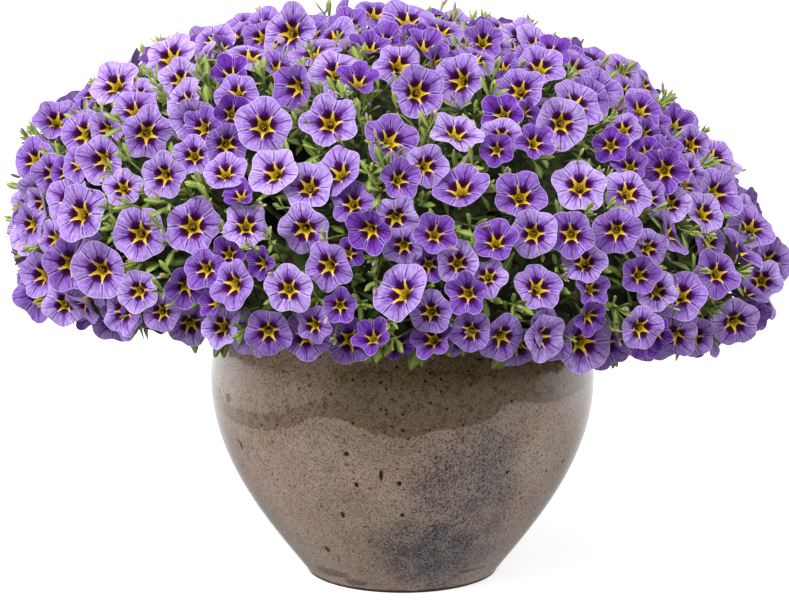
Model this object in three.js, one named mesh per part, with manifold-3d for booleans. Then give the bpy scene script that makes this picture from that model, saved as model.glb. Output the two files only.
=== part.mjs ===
// Calibrachoa in full flower, in a round-bellied pot of glazed stoneware.
// Millimetres, +Z up. The origin is the middle of the pot's foot, on the ground.

import * as THREE from "three";
import { mergeVertices } from "three/addons/utils/BufferGeometryUtils.js";
import Module from "manifold-3d";

const wasm = await Module();
wasm.setup();

// Pot: foot, belly and rolled lip, with the wall's thickness between the two curves.
const potSides = 32;
const footRadius = 64;
const footHeight = 2;
const bellyRadius = 125.5;
const bellyHeight = 132;
const lipHeight = 170;
const lipMiddle = 107;
const lipRoll = 6.5;
const potWall = 9;
const potBase = 12;
const drainHoles = 3;
const drainCircle = 33;
const drainRadius = 5;

// Soil: fills the pot to below the lip, and stands a little higher in the middle.
const soilGap = 0.35;
const soilTop = 158;
const soilDome = 6;
const soilRings = 3;
const soilLumps = 1.4;
const holeRadius = 3;
const holeDepth = 22;

// Crown: a dome above its widest level and a skirt below it, both lifted towards the front.
const crownLevel = 190;
const crownLift = 19;
const liftWay = new THREE.Vector3(-0.35, -0.94, 0);
const crownRadius = 246;
const domeRise = 176;
const crownFullness = 0.88;
const skirtDrop = 36;
const skirtDropLifted = 7;
const skirtEnd = -0.55;
const skirtShare = 0.18;
const crownShift = -4;
const crownLean = -16;
const leanSpan = 120;

// Blooms: five-lobed funnels that are smallest when young.
const bloomCount = 300;
const bloomYoung = 12;
const bloomGrowth = 5.2;
const bloomDepth = 12;
const bloomRoom = 1.2;
const notch = 0.82;
const throatDepth = 0.34;
const tubeDepth = 0.42;
const tubeRadius = 0.27;

// Sprays: each has a stem, and a core of stalks and leaves under its blooms.
const sprayCount = 36;
const sprayRoom = 50;
const sprayEnd = -0.3;
const coreSides = 8;
const coreTop = 20;
const coreRim = 34;
const coreReach = 58;
const coreGap = 2.5;
const neckDepth = 66;
const coreEnd = -0.42;
const rootSink = 0.14;
const rootReach = 0.75;

// Leafy shoots: direction of each tip, as degrees round from the front and degrees from the top.
const shootTips = [
  [-58, 24], [-20, 12], [60, 20], [80, 42], [-86, 46], [86, 78],
  [-59, 101], [-43, 98], [-2, 104], [26, 99], [43, 102], [66, 99],
  [-130, 72], [134, 44], [178, 66], [-170, 102],
];
const shootRoom = 13;
const shootBerth = 12;
const shootDepth = -2;
const budDepth = 4;
const shootLeaves = 5;
const leafLength = 21;
const leafWidth = 6;
const leafRib = 1.4;

// Stems stand in the soil, the ones for the outer sprays nearer the pot's wall.
const stemRadius = 1.8;
const stemSides = 3;
const stemCircle = 86;
const stemOutermost = 2.2;
const stemRise = 34;
const stemSteps = 3;

const petalViolet = 0x8f67ba;
const leafGreen = 0x6b7a3a;
const soilBrown = 0x32241c;
const glazeTaupe = 0x7d7066;

const goldenAngle = Math.PI * (3 - Math.sqrt(5));
const up = new THREE.Vector3(0, 0, 1);
const front = new THREE.Vector3(0, -1, 0.2).normalize();

// ---- Random draws and solids ----

// A linear congruential generator, so that every run grows the same plant.
function seeded(seed) {
  let state = seed;
  return () => {
    state = (Math.imul(state, 1664525) + 1013904223) >>> 0;
    return state / 4294967296;
  };
}

function solidFrom(points, triangles) {
  const vertProperties = new Float32Array(points.flatMap((point) => point.toArray()));
  const triVerts = new Uint32Array(triangles.flat());
  return new wasm.Manifold(new wasm.Mesh({ numProp: 3, vertProperties, triVerts }));
}

// A three.js geometry as a solid, with its corners merged and its empty triangles left out.
function solidFromGeometry(geometry) {
  geometry.deleteAttribute("normal");
  geometry.deleteAttribute("uv");
  const merged = mergeVertices(geometry);
  const position = merged.getAttribute("position");
  const points = [];
  for (let i = 0; i < position.count; i += 1) {
    points.push(new THREE.Vector3().fromBufferAttribute(position, i));
  }
  const triangles = [];
  for (let i = 0; i < merged.index.count; i += 3) {
    const [a, b, c] = merged.index.array.slice(i, i + 3);
    if (a !== b && b !== c && c !== a) {
      triangles.push([a, b, c]);
    }
  }
  return solidFrom(points, triangles);
}

// A node of the part, shown in one colour.
function meshFrom(name, solid, color, roughness) {
  const cut = solid.getMesh();
  const geometry = new THREE.BufferGeometry();
  geometry.setAttribute("position", new THREE.BufferAttribute(cut.vertProperties, 3));
  geometry.setIndex(new THREE.BufferAttribute(cut.triVerts, 1));
  geometry.computeVertexNormals();
  const material = new THREE.MeshStandardMaterial({ color, roughness, metalness: 0 });
  const mesh = new THREE.Mesh(geometry, material);
  mesh.name = name;
  return mesh;
}

function joined(solids) {
  return solids.reduce((whole, piece) => whole.add(piece));
}

// A closed rod through the points, with the same radius all along.
function rod(points, radius, sides) {
  const corners = [];
  points.forEach((point, index) => {
    const before = points[Math.max(index - 1, 0)];
    const after = points[Math.min(index + 1, points.length - 1)];
    const along = after.clone().sub(before).normalize();
    const across = new THREE.Vector3(-point.y, point.x, 0).normalize();
    const over = along.clone().cross(across).normalize();
    const level = over.clone().cross(along);
    for (let side = 0; side < sides; side += 1) {
      const angle = (2 * Math.PI * side) / sides;
      const corner = point.clone().addScaledVector(level, radius * Math.cos(angle));
      corners.push(corner.addScaledVector(over, radius * Math.sin(angle)));
    }
  });
  const triangles = [];
  const last = sides * (points.length - 1);
  for (let start = 0; start < last; start += sides) {
    for (let side = 0; side < sides; side += 1) {
      const next = (side + 1) % sides;
      triangles.push([start + side, start + sides + next, start + sides + side]);
      triangles.push([start + side, start + next, start + sides + next]);
    }
  }
  for (let side = 1; side < sides - 1; side += 1) {
    triangles.push([0, side + 1, side]);
    triangles.push([last, last + side, last + side + 1]);
  }
  return solidFrom(corners, triangles);
}

// ---- Pot and soil ----

function curve(corners) {
  const [a, b, c, d] = corners.map(([radius, height]) => new THREE.Vector2(radius, height));
  return new THREE.CubicBezierCurve(a, b, c, d);
}

const outerBelly = curve([
  [footRadius, footHeight], [footRadius + 28, 38], [bellyRadius + 1, 80],
  [bellyRadius, bellyHeight],
]);
const outerShoulder = curve([
  [bellyRadius, bellyHeight], [bellyRadius, 149], [bellyRadius - 7, 160],
  [lipMiddle + lipRoll, lipHeight - 2],
]);
const innerBelly = curve([
  [footRadius - potWall, potBase], [footRadius + 21, 42], [bellyRadius - potWall, 82],
  [bellyRadius - potWall, bellyHeight],
]);
const innerShoulder = curve([
  [bellyRadius - potWall, bellyHeight], [bellyRadius - potWall, 145],
  [bellyRadius - potWall - 5, 152], [bellyRadius - potWall - 8, soilTop],
]);

function turned(profile) {
  const geometry = new THREE.LatheGeometry(profile, potSides);
  geometry.rotateX(Math.PI / 2);
  return geometry;
}

// The wall is turned in one piece with the base, and the drain holes are drilled through it.
function pot() {
  const roll = [45, 110].map((degrees) => {
    const angle = THREE.MathUtils.degToRad(degrees);
    const radius = lipMiddle + lipRoll * Math.cos(angle);
    return new THREE.Vector2(radius, lipHeight + lipRoll * Math.sin(angle));
  });
  const profile = [
    new THREE.Vector2(0, 0),
    new THREE.Vector2(footRadius - 1, 0),
    ...outerBelly.getPoints(6),
    ...outerShoulder.getPoints(2).slice(1),
    ...roll,
    new THREE.Vector2(lipMiddle - lipRoll, lipHeight),
    ...innerShoulder.getPoints(1).reverse(),
    ...innerBelly.getPoints(3).reverse().slice(1),
    new THREE.Vector2(0, potBase),
  ];
  let body = solidFromGeometry(turned(profile));
  for (let hole = 0; hole < drainHoles; hole += 1) {
    const drill = new THREE.CylinderGeometry(drainRadius, drainRadius, 4 * potBase, 8);
    drill.rotateX(Math.PI / 2);
    drill.translate(drainCircle, 0, 0);
    drill.rotateZ((2 * Math.PI * (hole + 0.25)) / drainHoles);
    body = body.subtract(solidFromGeometry(drill));
  }
  return body;
}

// The soil's top is a low dome with lumps, and reaches the wall at its own level.
function soilHeight(x, y) {
  const radius = bellyRadius - potWall - 8;
  const dome = soilDome * (1 - (x * x + y * y) / (radius * radius));
  const lumps = soilLumps * Math.sin(x / 7 + 1) * Math.cos(y / 8 - 2);
  return soilTop + dome + lumps;
}

// The soil keeps a hair's gap to the pot, and has a plain hole for each stem.
function soil(stemFeet) {
  const wall = [...innerBelly.getPoints(3), ...innerShoulder.getPoints(1).slice(1)];
  const side = wall.map(({ x, y }) => {
    const raise = soilGap * Math.max(0, 1 - y / bellyHeight);
    return new THREE.Vector2(x - soilGap, y + raise);
  });
  const rim = side[side.length - 1];
  const top = [];
  for (let ring = soilRings - 1; ring >= 0; ring -= 1) {
    top.push(new THREE.Vector2((rim.x * ring) / soilRings, rim.y + 1));
  }
  const geometry = turned([new THREE.Vector2(0, side[0].y), ...side, ...top]);
  const position = geometry.getAttribute("position");
  for (let i = 0; i < position.count; i += 1) {
    if (position.getZ(i) > rim.y + 0.5) {
      position.setZ(i, soilHeight(position.getX(i), position.getY(i)));
    }
  }
  let body = solidFromGeometry(geometry);
  for (const foot of stemFeet) {
    const hole = new THREE.CylinderGeometry(holeRadius, holeRadius, 2 * holeDepth, 4);
    hole.rotateX(Math.PI / 2);
    hole.translate(foot.x, foot.y, soilHeight(foot.x, foot.y));
    body = body.subtract(solidFromGeometry(hole));
  }
  return body;
}

// ---- Crown: where everything on the plant sits ----

// How far the plant's middle stands to one side at a height.
function lean(height) {
  const share = THREE.MathUtils.smoothstep(height, crownLevel, crownLevel + leanSpan);
  return crownShift + crownLean * share;
}

// How much the front's lift counts in a direction.
function lifted(direction) {
  return Math.max(0, direction.dot(liftWay));
}

// The height where the crown is widest in a direction.
function levelAt(direction) {
  return crownLevel + crownLift * lifted(direction);
}

// The dome's rise over the widest level in a direction, or the skirt's drop under it.
function halfHeight(direction, depth) {
  if (direction.z >= 0) {
    return domeRise - depth;
  }
  const drop = skirtDrop + (skirtDropLifted - skirtDrop) * lifted(direction);
  return drop * Math.max(0.1, 1 - depth / 60);
}

function swollen(value) {
  return Math.sign(value) * Math.abs(value) ** crownFullness;
}

// The point in a direction that lies so deep under the crown's surface.
function placeOn(direction, depth) {
  const level = Math.hypot(direction.x, direction.y);
  const width = ((crownRadius - depth) * swollen(level)) / level;
  const height = levelAt(direction) + swollen(direction.z) * halfHeight(direction, depth);
  return new THREE.Vector3(direction.x * width + lean(height), direction.y * width, height);
}

// The direction of a place at a known depth, no further down than the end.
function directionOf(place, depth, end) {
  const direction = new THREE.Vector3(place.x - lean(place.z), place.y, 0);
  const level = direction.length();
  direction.multiplyScalar((level / (crownRadius - depth)) ** (1 / crownFullness) / level);
  const height = place.z - levelAt(direction);
  direction.z = Math.abs(height / halfHeight(direction.clone().setZ(height), depth)) ** (1 / crownFullness);
  direction.z *= Math.sign(height);
  direction.normalize();
  if (direction.z < end) {
    const wider = Math.sqrt((1 - end * end) / (1 - direction.z * direction.z));
    direction.set(direction.x * wider, direction.y * wider, end);
  }
  return direction;
}

// A first direction for each item of a set, on an uneven spiral that covers dome and skirt.
function spiralDirection(index, count, random, end) {
  const share = (index + random()) / count;
  const above = share < 1 - skirtShare;
  const z = above ? share / (1 - skirtShare) : (end * (share - 1 + skirtShare)) / skirtShare;
  const angle = goldenAngle * (index + 0.3 * random());
  const level = Math.sqrt(1 - z * z);
  return new THREE.Vector3(level * Math.cos(angle), level * Math.sin(angle), z);
}

// Pushes apart each pair that is closer than its two rooms, and lays both back on the crown.
function spread(items, rounds) {
  const apart = new THREE.Vector3();
  for (let round = 0; round < rounds; round += 1) {
    const pushes = items.map(() => new THREE.Vector3());
    for (let i = 0; i < items.length; i += 1) {
      for (let j = i + 1; j < items.length; j += 1) {
        apart.subVectors(items[i].place, items[j].place);
        const lack = items[i].room + items[j].room - apart.length();
        if (lack > 0) {
          apart.setLength(lack / 2);
          pushes[i].add(apart);
          pushes[j].sub(apart);
        }
      }
    }
    items.forEach((item, index) => {
      if (item.fixed) {
        return;
      }
      const moved = item.place.add(pushes[index]);
      item.place = placeOn(directionOf(moved, item.depth, item.end), item.depth);
    });
  }
}

// Shoots stand fixed, a little proud of the crown, and the blooms make room for them.
function placeShoots() {
  return shootTips.map(([round, down]) => {
    const angle = THREE.MathUtils.degToRad(round - 90);
    const polar = THREE.MathUtils.degToRad(down);
    const level = Math.sin(polar);
    const direction = new THREE.Vector3(level * Math.cos(angle), level * Math.sin(angle), Math.cos(polar));
    return { place: placeOn(direction, shootDepth), room: shootRoom, depth: shootDepth, fixed: true };
  });
}

function placeSprays(shoots) {
  const random = seeded(7);
  const sprays = Array.from({ length: sprayCount }, (_, index) => {
    const place = placeOn(spiralDirection(index, sprayCount, random, sprayEnd), coreTop);
    return { place, room: sprayRoom, depth: coreTop, end: sprayEnd };
  });
  spread([...sprays, ...shoots], 150);
  return sprays;
}

function placeBlooms(shoots) {
  const random = seeded(23);
  const blooms = Array.from({ length: bloomCount }, (_, index) => {
    const direction = spiralDirection(index, bloomCount, random, skirtEnd);
    const radius = bloomYoung + bloomGrowth * random() ** 0.6;
    const depth = bloomDepth * random();
    const roll = 2 * Math.PI * random();
    const sway = new THREE.Vector3(random() - 0.5, random() - 0.5, random() - 0.5);
    const place = placeOn(direction, depth);
    return { place, room: radius * bloomRoom, depth, end: skirtEnd, radius, roll, sway };
  });
  spread([...blooms, ...shoots], 120);
  return blooms;
}

// ---- Sprays ----

// The way of a stem from its hole in the soil, up and out to its neck under the crown.
function stemPath(item) {
  const direction = directionOf(item.place, item.depth, -1);
  const neck = placeOn(direction, neckDepth);
  const head = placeOn(direction, 0);
  const share = Math.min(1, Math.acos(direction.z) / stemOutermost);
  const foot = direction.clone().setZ(0).setLength(stemCircle * share);
  const ground = soilHeight(foot.x, foot.y);
  const low = foot.clone().setZ(ground - holeDepth + 2 * soilGap);
  const high = foot.clone().setZ(ground + 3);
  const rise = high.clone().addScaledVector(up, stemRise);
  const inward = neck.clone().sub(head).setLength(0.45 * neck.distanceTo(high));
  const bend = new THREE.CubicBezierCurve3(high, rise, neck.clone().add(inward), neck);
  return [low, ...bend.getPoints(stemSteps)];
}

// A corner of a core's rim, laid on the surface that all rims lie on.
function edgeAt(head, way, reach) {
  const edge = head.clone().addScaledVector(way, reach);
  return placeOn(directionOf(edge, coreRim, coreEnd), coreRim);
}

// Whether a rim's corner stays on its own side of the plane between the core and a neighbour.
function clearOf(other, edge, seat) {
  const away = seat.clone().sub(seatOf(other));
  const berth = other.fixed ? shootBerth : away.length() / 2 + coreGap;
  return edge.clone().sub(seatOf(other)).dot(away.normalize()) > berth;
}

// The core widens to a rim that stays inside its own part of the crown.
function coreOf(spray, others) {
  const head = spray.place;
  const outward = directionOf(head, coreTop, -1);
  outward.z *= outward.z > 0 ? crownRadius / domeRise : 1;
  outward.normalize();
  const level = new THREE.Vector3(-outward.y, outward.x, 0).normalize();
  const rising = outward.clone().cross(level);
  const seat = seatOf(spray);
  const rim = [];
  const reaches = [];
  for (let side = 0; side < coreSides; side += 1) {
    const angle = (2 * Math.PI * side) / coreSides;
    const way = level.clone().multiplyScalar(Math.cos(angle)).addScaledVector(rising, Math.sin(angle));
    let reach = coreReach;
    let edge = edgeAt(head, way, reach);
    while (!others.every((other) => clearOf(other, edge, seat))) {
      reach *= 0.95;
      edge = edgeAt(head, way, reach);
    }
    rim.push(edge);
    reaches.push(reach);
  }
  const neck = placeOn(directionOf(head, coreTop, -1), neckDepth);
  return { head, level, rising, rim, reaches, neck, seat, stem: stemPath(spray) };
}

// The point just inside the core that a bloom's tube grows from.
function rootOf(core, place) {
  const offset = place.clone().sub(core.head);
  const turn = Math.atan2(offset.dot(core.rising), offset.dot(core.level)) / (2 * Math.PI);
  const sector = ((turn + 1) % 1) * coreSides;
  const before = Math.floor(sector) % coreSides;
  const after = (before + 1) % coreSides;
  const share = sector - Math.floor(sector);
  const reach = THREE.MathUtils.lerp(core.reaches[before], core.reaches[after], share);
  const edge = core.rim[before].clone().lerp(core.rim[after], share);
  const outwards = Math.min(rootReach, Math.hypot(offset.dot(core.level), offset.dot(core.rising)) / reach);
  return core.head.clone().lerp(edge, outwards).lerp(core.neck, rootSink);
}

// A bloom looks away from its root, a little upwards, and towards the light in front.
function facingOf(bloom, root) {
  const away = bloom.place.clone().sub(root).normalize();
  const lit = THREE.MathUtils.smoothstep(away.dot(front), -0.5, 0.5);
  const facing = away.clone().multiplyScalar(0.6).addScaledVector(up, 0.12);
  facing.addScaledVector(front, 0.65 * lit).addScaledVector(bloom.sway, 0.5).normalize();
  while (facing.dot(away) < 0.55) {
    facing.addScaledVector(away, 0.2).normalize();
  }
  return facing;
}

// Corners of the limb, the throat in front, the tube's collar behind it, and the root.
function bloomSolid(bloom, root) {
  const facing = facingOf(bloom, root);
  const level = new THREE.Vector3(-facing.y, facing.x, 0).normalize();
  const rising = facing.clone().cross(level);
  const at = (angle, radius, depth) => {
    const point = bloom.place.clone().addScaledVector(facing, -depth * bloom.radius);
    point.addScaledVector(level, radius * bloom.radius * Math.cos(angle));
    return point.addScaledVector(rising, radius * bloom.radius * Math.sin(angle));
  };
  const points = [];
  for (let corner = 0; corner < 10; corner += 1) {
    const lobe = corner % 2 === 0;
    points.push(at(bloom.roll + (Math.PI * corner) / 5, lobe ? 1 : notch, lobe ? 0.04 : 0));
  }
  for (let corner = 0; corner < 3; corner += 1) {
    points.push(at(bloom.roll + (2 * Math.PI * (corner + 0.57)) / 3, tubeRadius, tubeDepth));
  }
  points.push(at(0, 0, throatDepth), root);
  const [collar, throat, end] = [10, 13, 14];
  const triangles = [];
  for (let corner = 0; corner < 10; corner += 1) {
    const next = (corner + 1) % 10;
    const behind = collar + Math.floor(corner * 0.3);
    const behindNext = collar + (Math.floor((corner + 1) * 0.3) % 3);
    triangles.push([corner, next, throat], [next, corner, behind]);
    if (behind !== behindNext) {
      triangles.push([next, behind, behindNext], [behindNext, behind, end]);
    }
  }
  return solidFrom(points, triangles);
}

function coreSolid(core) {
  const points = [...core.rim, core.head, core.neck];
  const triangles = [];
  for (let side = 0; side < coreSides; side += 1) {
    const next = (side + 1) % coreSides;
    triangles.push([side, next, coreSides], [next, side, coreSides + 1]);
  }
  return solidFrom(points, triangles);
}

// Where a spray or shoot crosses the surface that the rims lie on.
function seatOf(item) {
  return placeOn(directionOf(item.place, item.depth, -1), coreRim);
}

// The nearest core that a bloom can reach with no leafy shoot in its way.
function coreFor(bloom, cores, shoots) {
  const free = cores.filter((core) => {
    const way = new THREE.Line3(seatOf(bloom), core.seat);
    return shoots.every((shoot) => {
      const seat = seatOf(shoot);
      return way.closestPointToPoint(seat, true, new THREE.Vector3()).distanceTo(seat) > shootBerth;
    });
  });
  return free.reduce((best, core) => {
    return core.head.distanceTo(bloom.place) < best.head.distanceTo(bloom.place) ? core : best;
  });
}

// A spray's stem, core and blooms, fused.
function spraySolid(core, blooms) {
  const middle = core.head.clone().lerp(core.neck, 0.5);
  const stem = rod([...core.stem, middle], stemRadius, stemSides);
  const heads = blooms.map((bloom) => bloomSolid(bloom, rootOf(core, bloom.place)));
  return joined([coreSolid(core), stem, ...heads]);
}

// ---- Leafy shoots ----

// A leaf blade, flat above, widest past its middle and keeled underneath.
function leafSolid(base, along, normal, size) {
  const side = along.clone().cross(normal).normalize();
  const wide = base.clone().addScaledVector(along, 0.58 * leafLength * size);
  const points = [
    base,
    base.clone().addScaledVector(along, leafLength * size),
    wide.clone().addScaledVector(side, (leafWidth * size) / 2),
    wide.clone().addScaledVector(side, (-leafWidth * size) / 2),
    wide.clone().addScaledVector(normal, -leafRib),
  ];
  const triangles = [[0, 2, 1], [0, 1, 3], [2, 0, 4], [1, 2, 4], [3, 1, 4], [0, 3, 4]];
  return solidFrom(points, triangles);
}

// A shoot's stem, and the leaves that spiral down from its bud.
function shootSolid(shoot, random) {
  const direction = directionOf(shoot.place, shoot.depth, -1);
  const budded = placeOn(direction, budDepth);
  const outward = shoot.place.clone().sub(placeOn(direction, coreRim)).normalize();
  const stem = rod([...stemPath(shoot), budded], stemRadius, stemSides);
  const level = new THREE.Vector3(-outward.y, outward.x, 0).normalize();
  const rising = outward.clone().cross(level);
  const leaves = [];
  for (let leaf = 0; leaf < shootLeaves; leaf += 1) {
    const angle = leaf * 2.4 + 0.6 * random();
    const splay = 0.3 + 0.6 * (leaf / shootLeaves);
    const round = level.clone().multiplyScalar(Math.cos(angle)).addScaledVector(rising, Math.sin(angle));
    const along = outward.clone().multiplyScalar(Math.cos(splay)).addScaledVector(round, Math.sin(splay));
    const normal = outward.clone().multiplyScalar(Math.sin(splay)).addScaledVector(round, -Math.cos(splay));
    const base = budded.clone().addScaledVector(outward, -1 - 1.6 * leaf);
    leaves.push(leafSolid(base, along, normal, 0.75 + 0.25 * random()));
  }
  return joined([stem, ...leaves]);
}

// ---- Assembly ----

const shoots = placeShoots();
const sprays = placeSprays(shoots);
const blooms = placeBlooms(shoots);
const cores = sprays.map((spray) => {
  const others = [...sprays, ...shoots].filter((other) => other !== spray);
  return coreOf(spray, others);
});
const bunches = new Map(cores.map((core) => [core, []]));
for (const bloom of blooms) {
  bunches.get(coreFor(bloom, cores, shoots)).push(bloom);
}
const stemFeet = [...sprays, ...shoots].map((item) => stemPath(item)[0]);

const group = new THREE.Group();
group.add(meshFrom("pot", pot(), glazeTaupe, 0.25));
group.add(meshFrom("soil", soil(stemFeet), soilBrown, 0.95));
cores.forEach((core, index) => {
  const name = `spray_${String(index + 1).padStart(2, "0")}`;
  group.add(meshFrom(name, spraySolid(core, bunches.get(core)), petalViolet, 0.7));
});
const shootRandom = seeded(41);
shoots.forEach((shoot, index) => {
  const name = `shoot_${String(index + 1).padStart(2, "0")}`;
  group.add(meshFrom(name, shootSolid(shoot, shootRandom), leafGreen, 0.6));
});

export default group;
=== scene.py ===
import math

import bmesh
import bpy
import numpy as np
from mathutils import Matrix, Vector


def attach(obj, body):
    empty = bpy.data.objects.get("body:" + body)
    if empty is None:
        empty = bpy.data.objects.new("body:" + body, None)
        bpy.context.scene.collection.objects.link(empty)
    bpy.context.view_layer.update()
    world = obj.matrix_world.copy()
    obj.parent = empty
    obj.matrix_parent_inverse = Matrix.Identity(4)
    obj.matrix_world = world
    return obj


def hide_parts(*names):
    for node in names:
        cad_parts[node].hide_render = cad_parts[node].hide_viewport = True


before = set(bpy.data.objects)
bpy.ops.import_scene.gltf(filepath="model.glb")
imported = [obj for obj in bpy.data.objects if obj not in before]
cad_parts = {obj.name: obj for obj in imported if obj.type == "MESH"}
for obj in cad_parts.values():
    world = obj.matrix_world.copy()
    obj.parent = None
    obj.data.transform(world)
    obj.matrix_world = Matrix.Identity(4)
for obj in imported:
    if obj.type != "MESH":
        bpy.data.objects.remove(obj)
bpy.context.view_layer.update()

# Calibrachoa in a glazed pot. Everything is worked out in millimetres and made metres at the end.
metresPerMm = 0.001
fullTurn = 2 * math.pi
scene = bpy.context.scene
print("frame:", len(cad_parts), "nodes")


# The plant grows by the same rule as its solids, so every bloom and shoot sits where they have it.

crown = {
    "level": 190,
    "lift": 19,  # towards the front
    "liftWay": np.array([-0.35, -0.94]),
    "radius": 246,
    "rise": 176,
    "fullness": 0.88,
    "skirt": 36,
    "skirtLifted": 7,
    "skirtDepth": 60,
    "skirtEnd": -0.55,
    "skirtShare": 0.18,
    "shift": -4,
    "lean": -16,
    "leanSpan": 120,
}
growth = {
    "blooms": 300,
    "bloomYoung": 12,
    "bloomGrowth": 5.2,
    "bloomDepth": 12,
    "bloomRoom": 1.2,
    "bloomRounds": 120,
    "sprays": 36,
    "sprayRoom": 50,
    "sprayEnd": -0.3,
    "sprayRounds": 150,
    "coreSides": 8,
    "coreTop": 20,
    "coreRim": 34,
    "coreReach": 58,
    "coreGap": 2.5,
    "coreEnd": -0.42,
    "neckDepth": 66,
    "rootSink": 0.14,
    "rootReach": 0.75,
    "faceAway": 0.6,  # how far a bloom faces away from its root, up, to the front and anywhere
    "faceUp": 0.12,
    "faceFront": 0.65,
    "faceSway": 0.5,
    "faceLeast": 0.55,
    "shootRoom": 13,
    "shootBerth": 12,
    "shootDepth": -2,
    "stemCircle": 86,
    "stemOutermost": 2.2,
    "stemSeat": 0.7,
    "stemClear": 3,
    "stemRise": 34,
    "stemArch": 0.45,
    "holeDepth": 22,
}
ground = {
    "level": 158,
    "radius": 108.5,
    "dome": 6,
    "ripple": 1.4,
}
shootTips = [  # degrees round from the front, and degrees down from the top
    (-58, 24), (-20, 12), (60, 20), (80, 42), (-86, 46), (86, 78),
    (-59, 101), (-43, 98), (-2, 104), (26, 99), (43, 102), (66, 99),
    (-130, 72), (134, 44), (178, 66), (-170, 102),
]
goldenAngle = math.pi * (3 - math.sqrt(5))
upward = np.array([0.0, 0.0, 1.0])
frontward = np.array([0.0, -1.0, 0.2]) / math.hypot(1, 0.2)


def seeded(seed):
    state = seed

    def draw():
        nonlocal state
        state = (state * 1664525 + 1013904223) % 4294967296
        return state / 4294967296

    return draw


# Three random numbers, each from -0.5 to 0.5.
def swayed(draw):
    return np.array([draw() - 0.5 for _ in range(3)])


def between(pair, share):
    return pair[0] + (pair[1] - pair[0]) * share


def unit(vector):
    return vector / np.linalg.norm(vector)


def polar(radius, angle, height):
    return np.array([radius * math.cos(angle), radius * math.sin(angle), height])


def spoke(level, over, angle):
    return level * math.cos(angle) + over * math.sin(angle)


def smoothStep(value, low, high):
    share = np.clip((value - low) / (high - low), 0, 1)
    return share * share * (3 - 2 * share)


def leanAt(height):
    risen = smoothStep(height, crown["level"], crown["level"] + crown["leanSpan"])
    return crown["shift"] + crown["lean"] * risen


# The crown is lifted towards the front.
def liftedShare(direction):
    return np.maximum(0, direction[..., :2] @ crown["liftWay"])


def levelAt(direction):
    return crown["level"] + crown["lift"] * liftedShare(direction)


def halfHeight(direction, depth):
    drop = crown["skirt"] + (crown["skirtLifted"] - crown["skirt"]) * liftedShare(direction)
    below = drop * np.maximum(0.1, 1 - np.asarray(depth) / crown["skirtDepth"])
    return np.where(direction[..., 2] >= 0, crown["rise"] - depth, below)


def swollen(value):
    return np.sign(value) * np.abs(value) ** crown["fullness"]


# The point of the crown in a direction, so deep under its surface.
def placeOn(direction, depth):
    level = np.hypot(direction[..., 0], direction[..., 1])
    width = (crown["radius"] - depth) * swollen(level) / level
    height = levelAt(direction) + swollen(direction[..., 2]) * halfHeight(direction, depth)
    return np.stack([direction[..., 0] * width + leanAt(height), direction[..., 1] * width, height], -1)


def directionOf(place, depth, end=-1.0):
    x = place[..., 0] - leanAt(place[..., 2])
    y = place[..., 1]
    level = np.hypot(x, y)
    share = (level / (crown["radius"] - depth)) ** (1 / crown["fullness"]) / level
    flat = np.stack([x * share, y * share, 0 * x], -1)
    height = place[..., 2] - levelAt(flat)
    flat[..., 2] = height
    z = np.abs(height / halfHeight(flat, depth)) ** (1 / crown["fullness"]) * np.sign(height)
    way = np.stack([flat[..., 0], flat[..., 1], z], -1)
    way = way / np.linalg.norm(way, axis=-1, keepdims=True)
    low = way[..., 2] < end
    wider = np.where(low, np.sqrt((1 - end * end) / np.maximum(1e-9, 1 - way[..., 2] ** 2)), 1)
    return np.stack([way[..., 0] * wider, way[..., 1] * wider, np.where(low, end, way[..., 2])], -1)


# The same direction from the crown's middle, at another depth.
def sunk(item, depth):
    return placeOn(directionOf(item["place"], item["depth"]), depth)


def spiralDirection(index, count, draw, end):
    share = (index + draw()) / count
    above = 1 - crown["skirtShare"]
    z = share / above if share < above else end * (share - above) / crown["skirtShare"]
    angle = goldenAngle * (index + 0.3 * draw())
    return polar(math.sqrt(1 - z * z), angle, z)


# Pushes apart whatever is closer than its two rooms, and lays it back on the crown.
def spread(items, fixed, rounds):
    places = np.array([item["place"] for item in items + fixed])
    rooms = np.array([item["room"] for item in items + fixed])
    depths = np.array([item["depth"] for item in items])
    end = items[0]["end"]
    loose = len(items)
    for _ in range(rounds):
        apart = places[:loose, None, :] - places[None, :, :]
        distance = np.linalg.norm(apart, axis=2)
        lack = rooms[:loose, None] + rooms[None, :] - distance
        pushed = (lack > 0) & (distance > 0)
        share = np.where(pushed, lack / 2 / np.where(distance > 0, distance, 1), 0)
        moved = places[:loose] + (apart * share[..., None]).sum(1)
        places[:loose] = placeOn(directionOf(moved, depths, end), depths)
    for item, place in zip(items, places):
        item["place"] = place


def placeShoots():
    shoots = []
    depth = growth["shootDepth"]
    for turn, down in shootTips:
        slope = math.radians(down)
        direction = polar(math.sin(slope), math.radians(turn - 90), math.cos(slope))
        place = placeOn(direction, depth)
        shoots.append({"place": place, "room": growth["shootRoom"], "depth": depth, "fixed": True})
    return shoots


def placeSprays(shoots):
    draw = seeded(7)
    sprays = []
    for index in range(growth["sprays"]):
        direction = spiralDirection(index, growth["sprays"], draw, growth["sprayEnd"])
        sprays.append({
            "place": placeOn(direction, growth["coreTop"]),
            "room": growth["sprayRoom"],
            "depth": growth["coreTop"],
            "end": growth["sprayEnd"],
            "fixed": False,
        })
    spread(sprays, shoots, growth["sprayRounds"])
    return sprays


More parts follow.
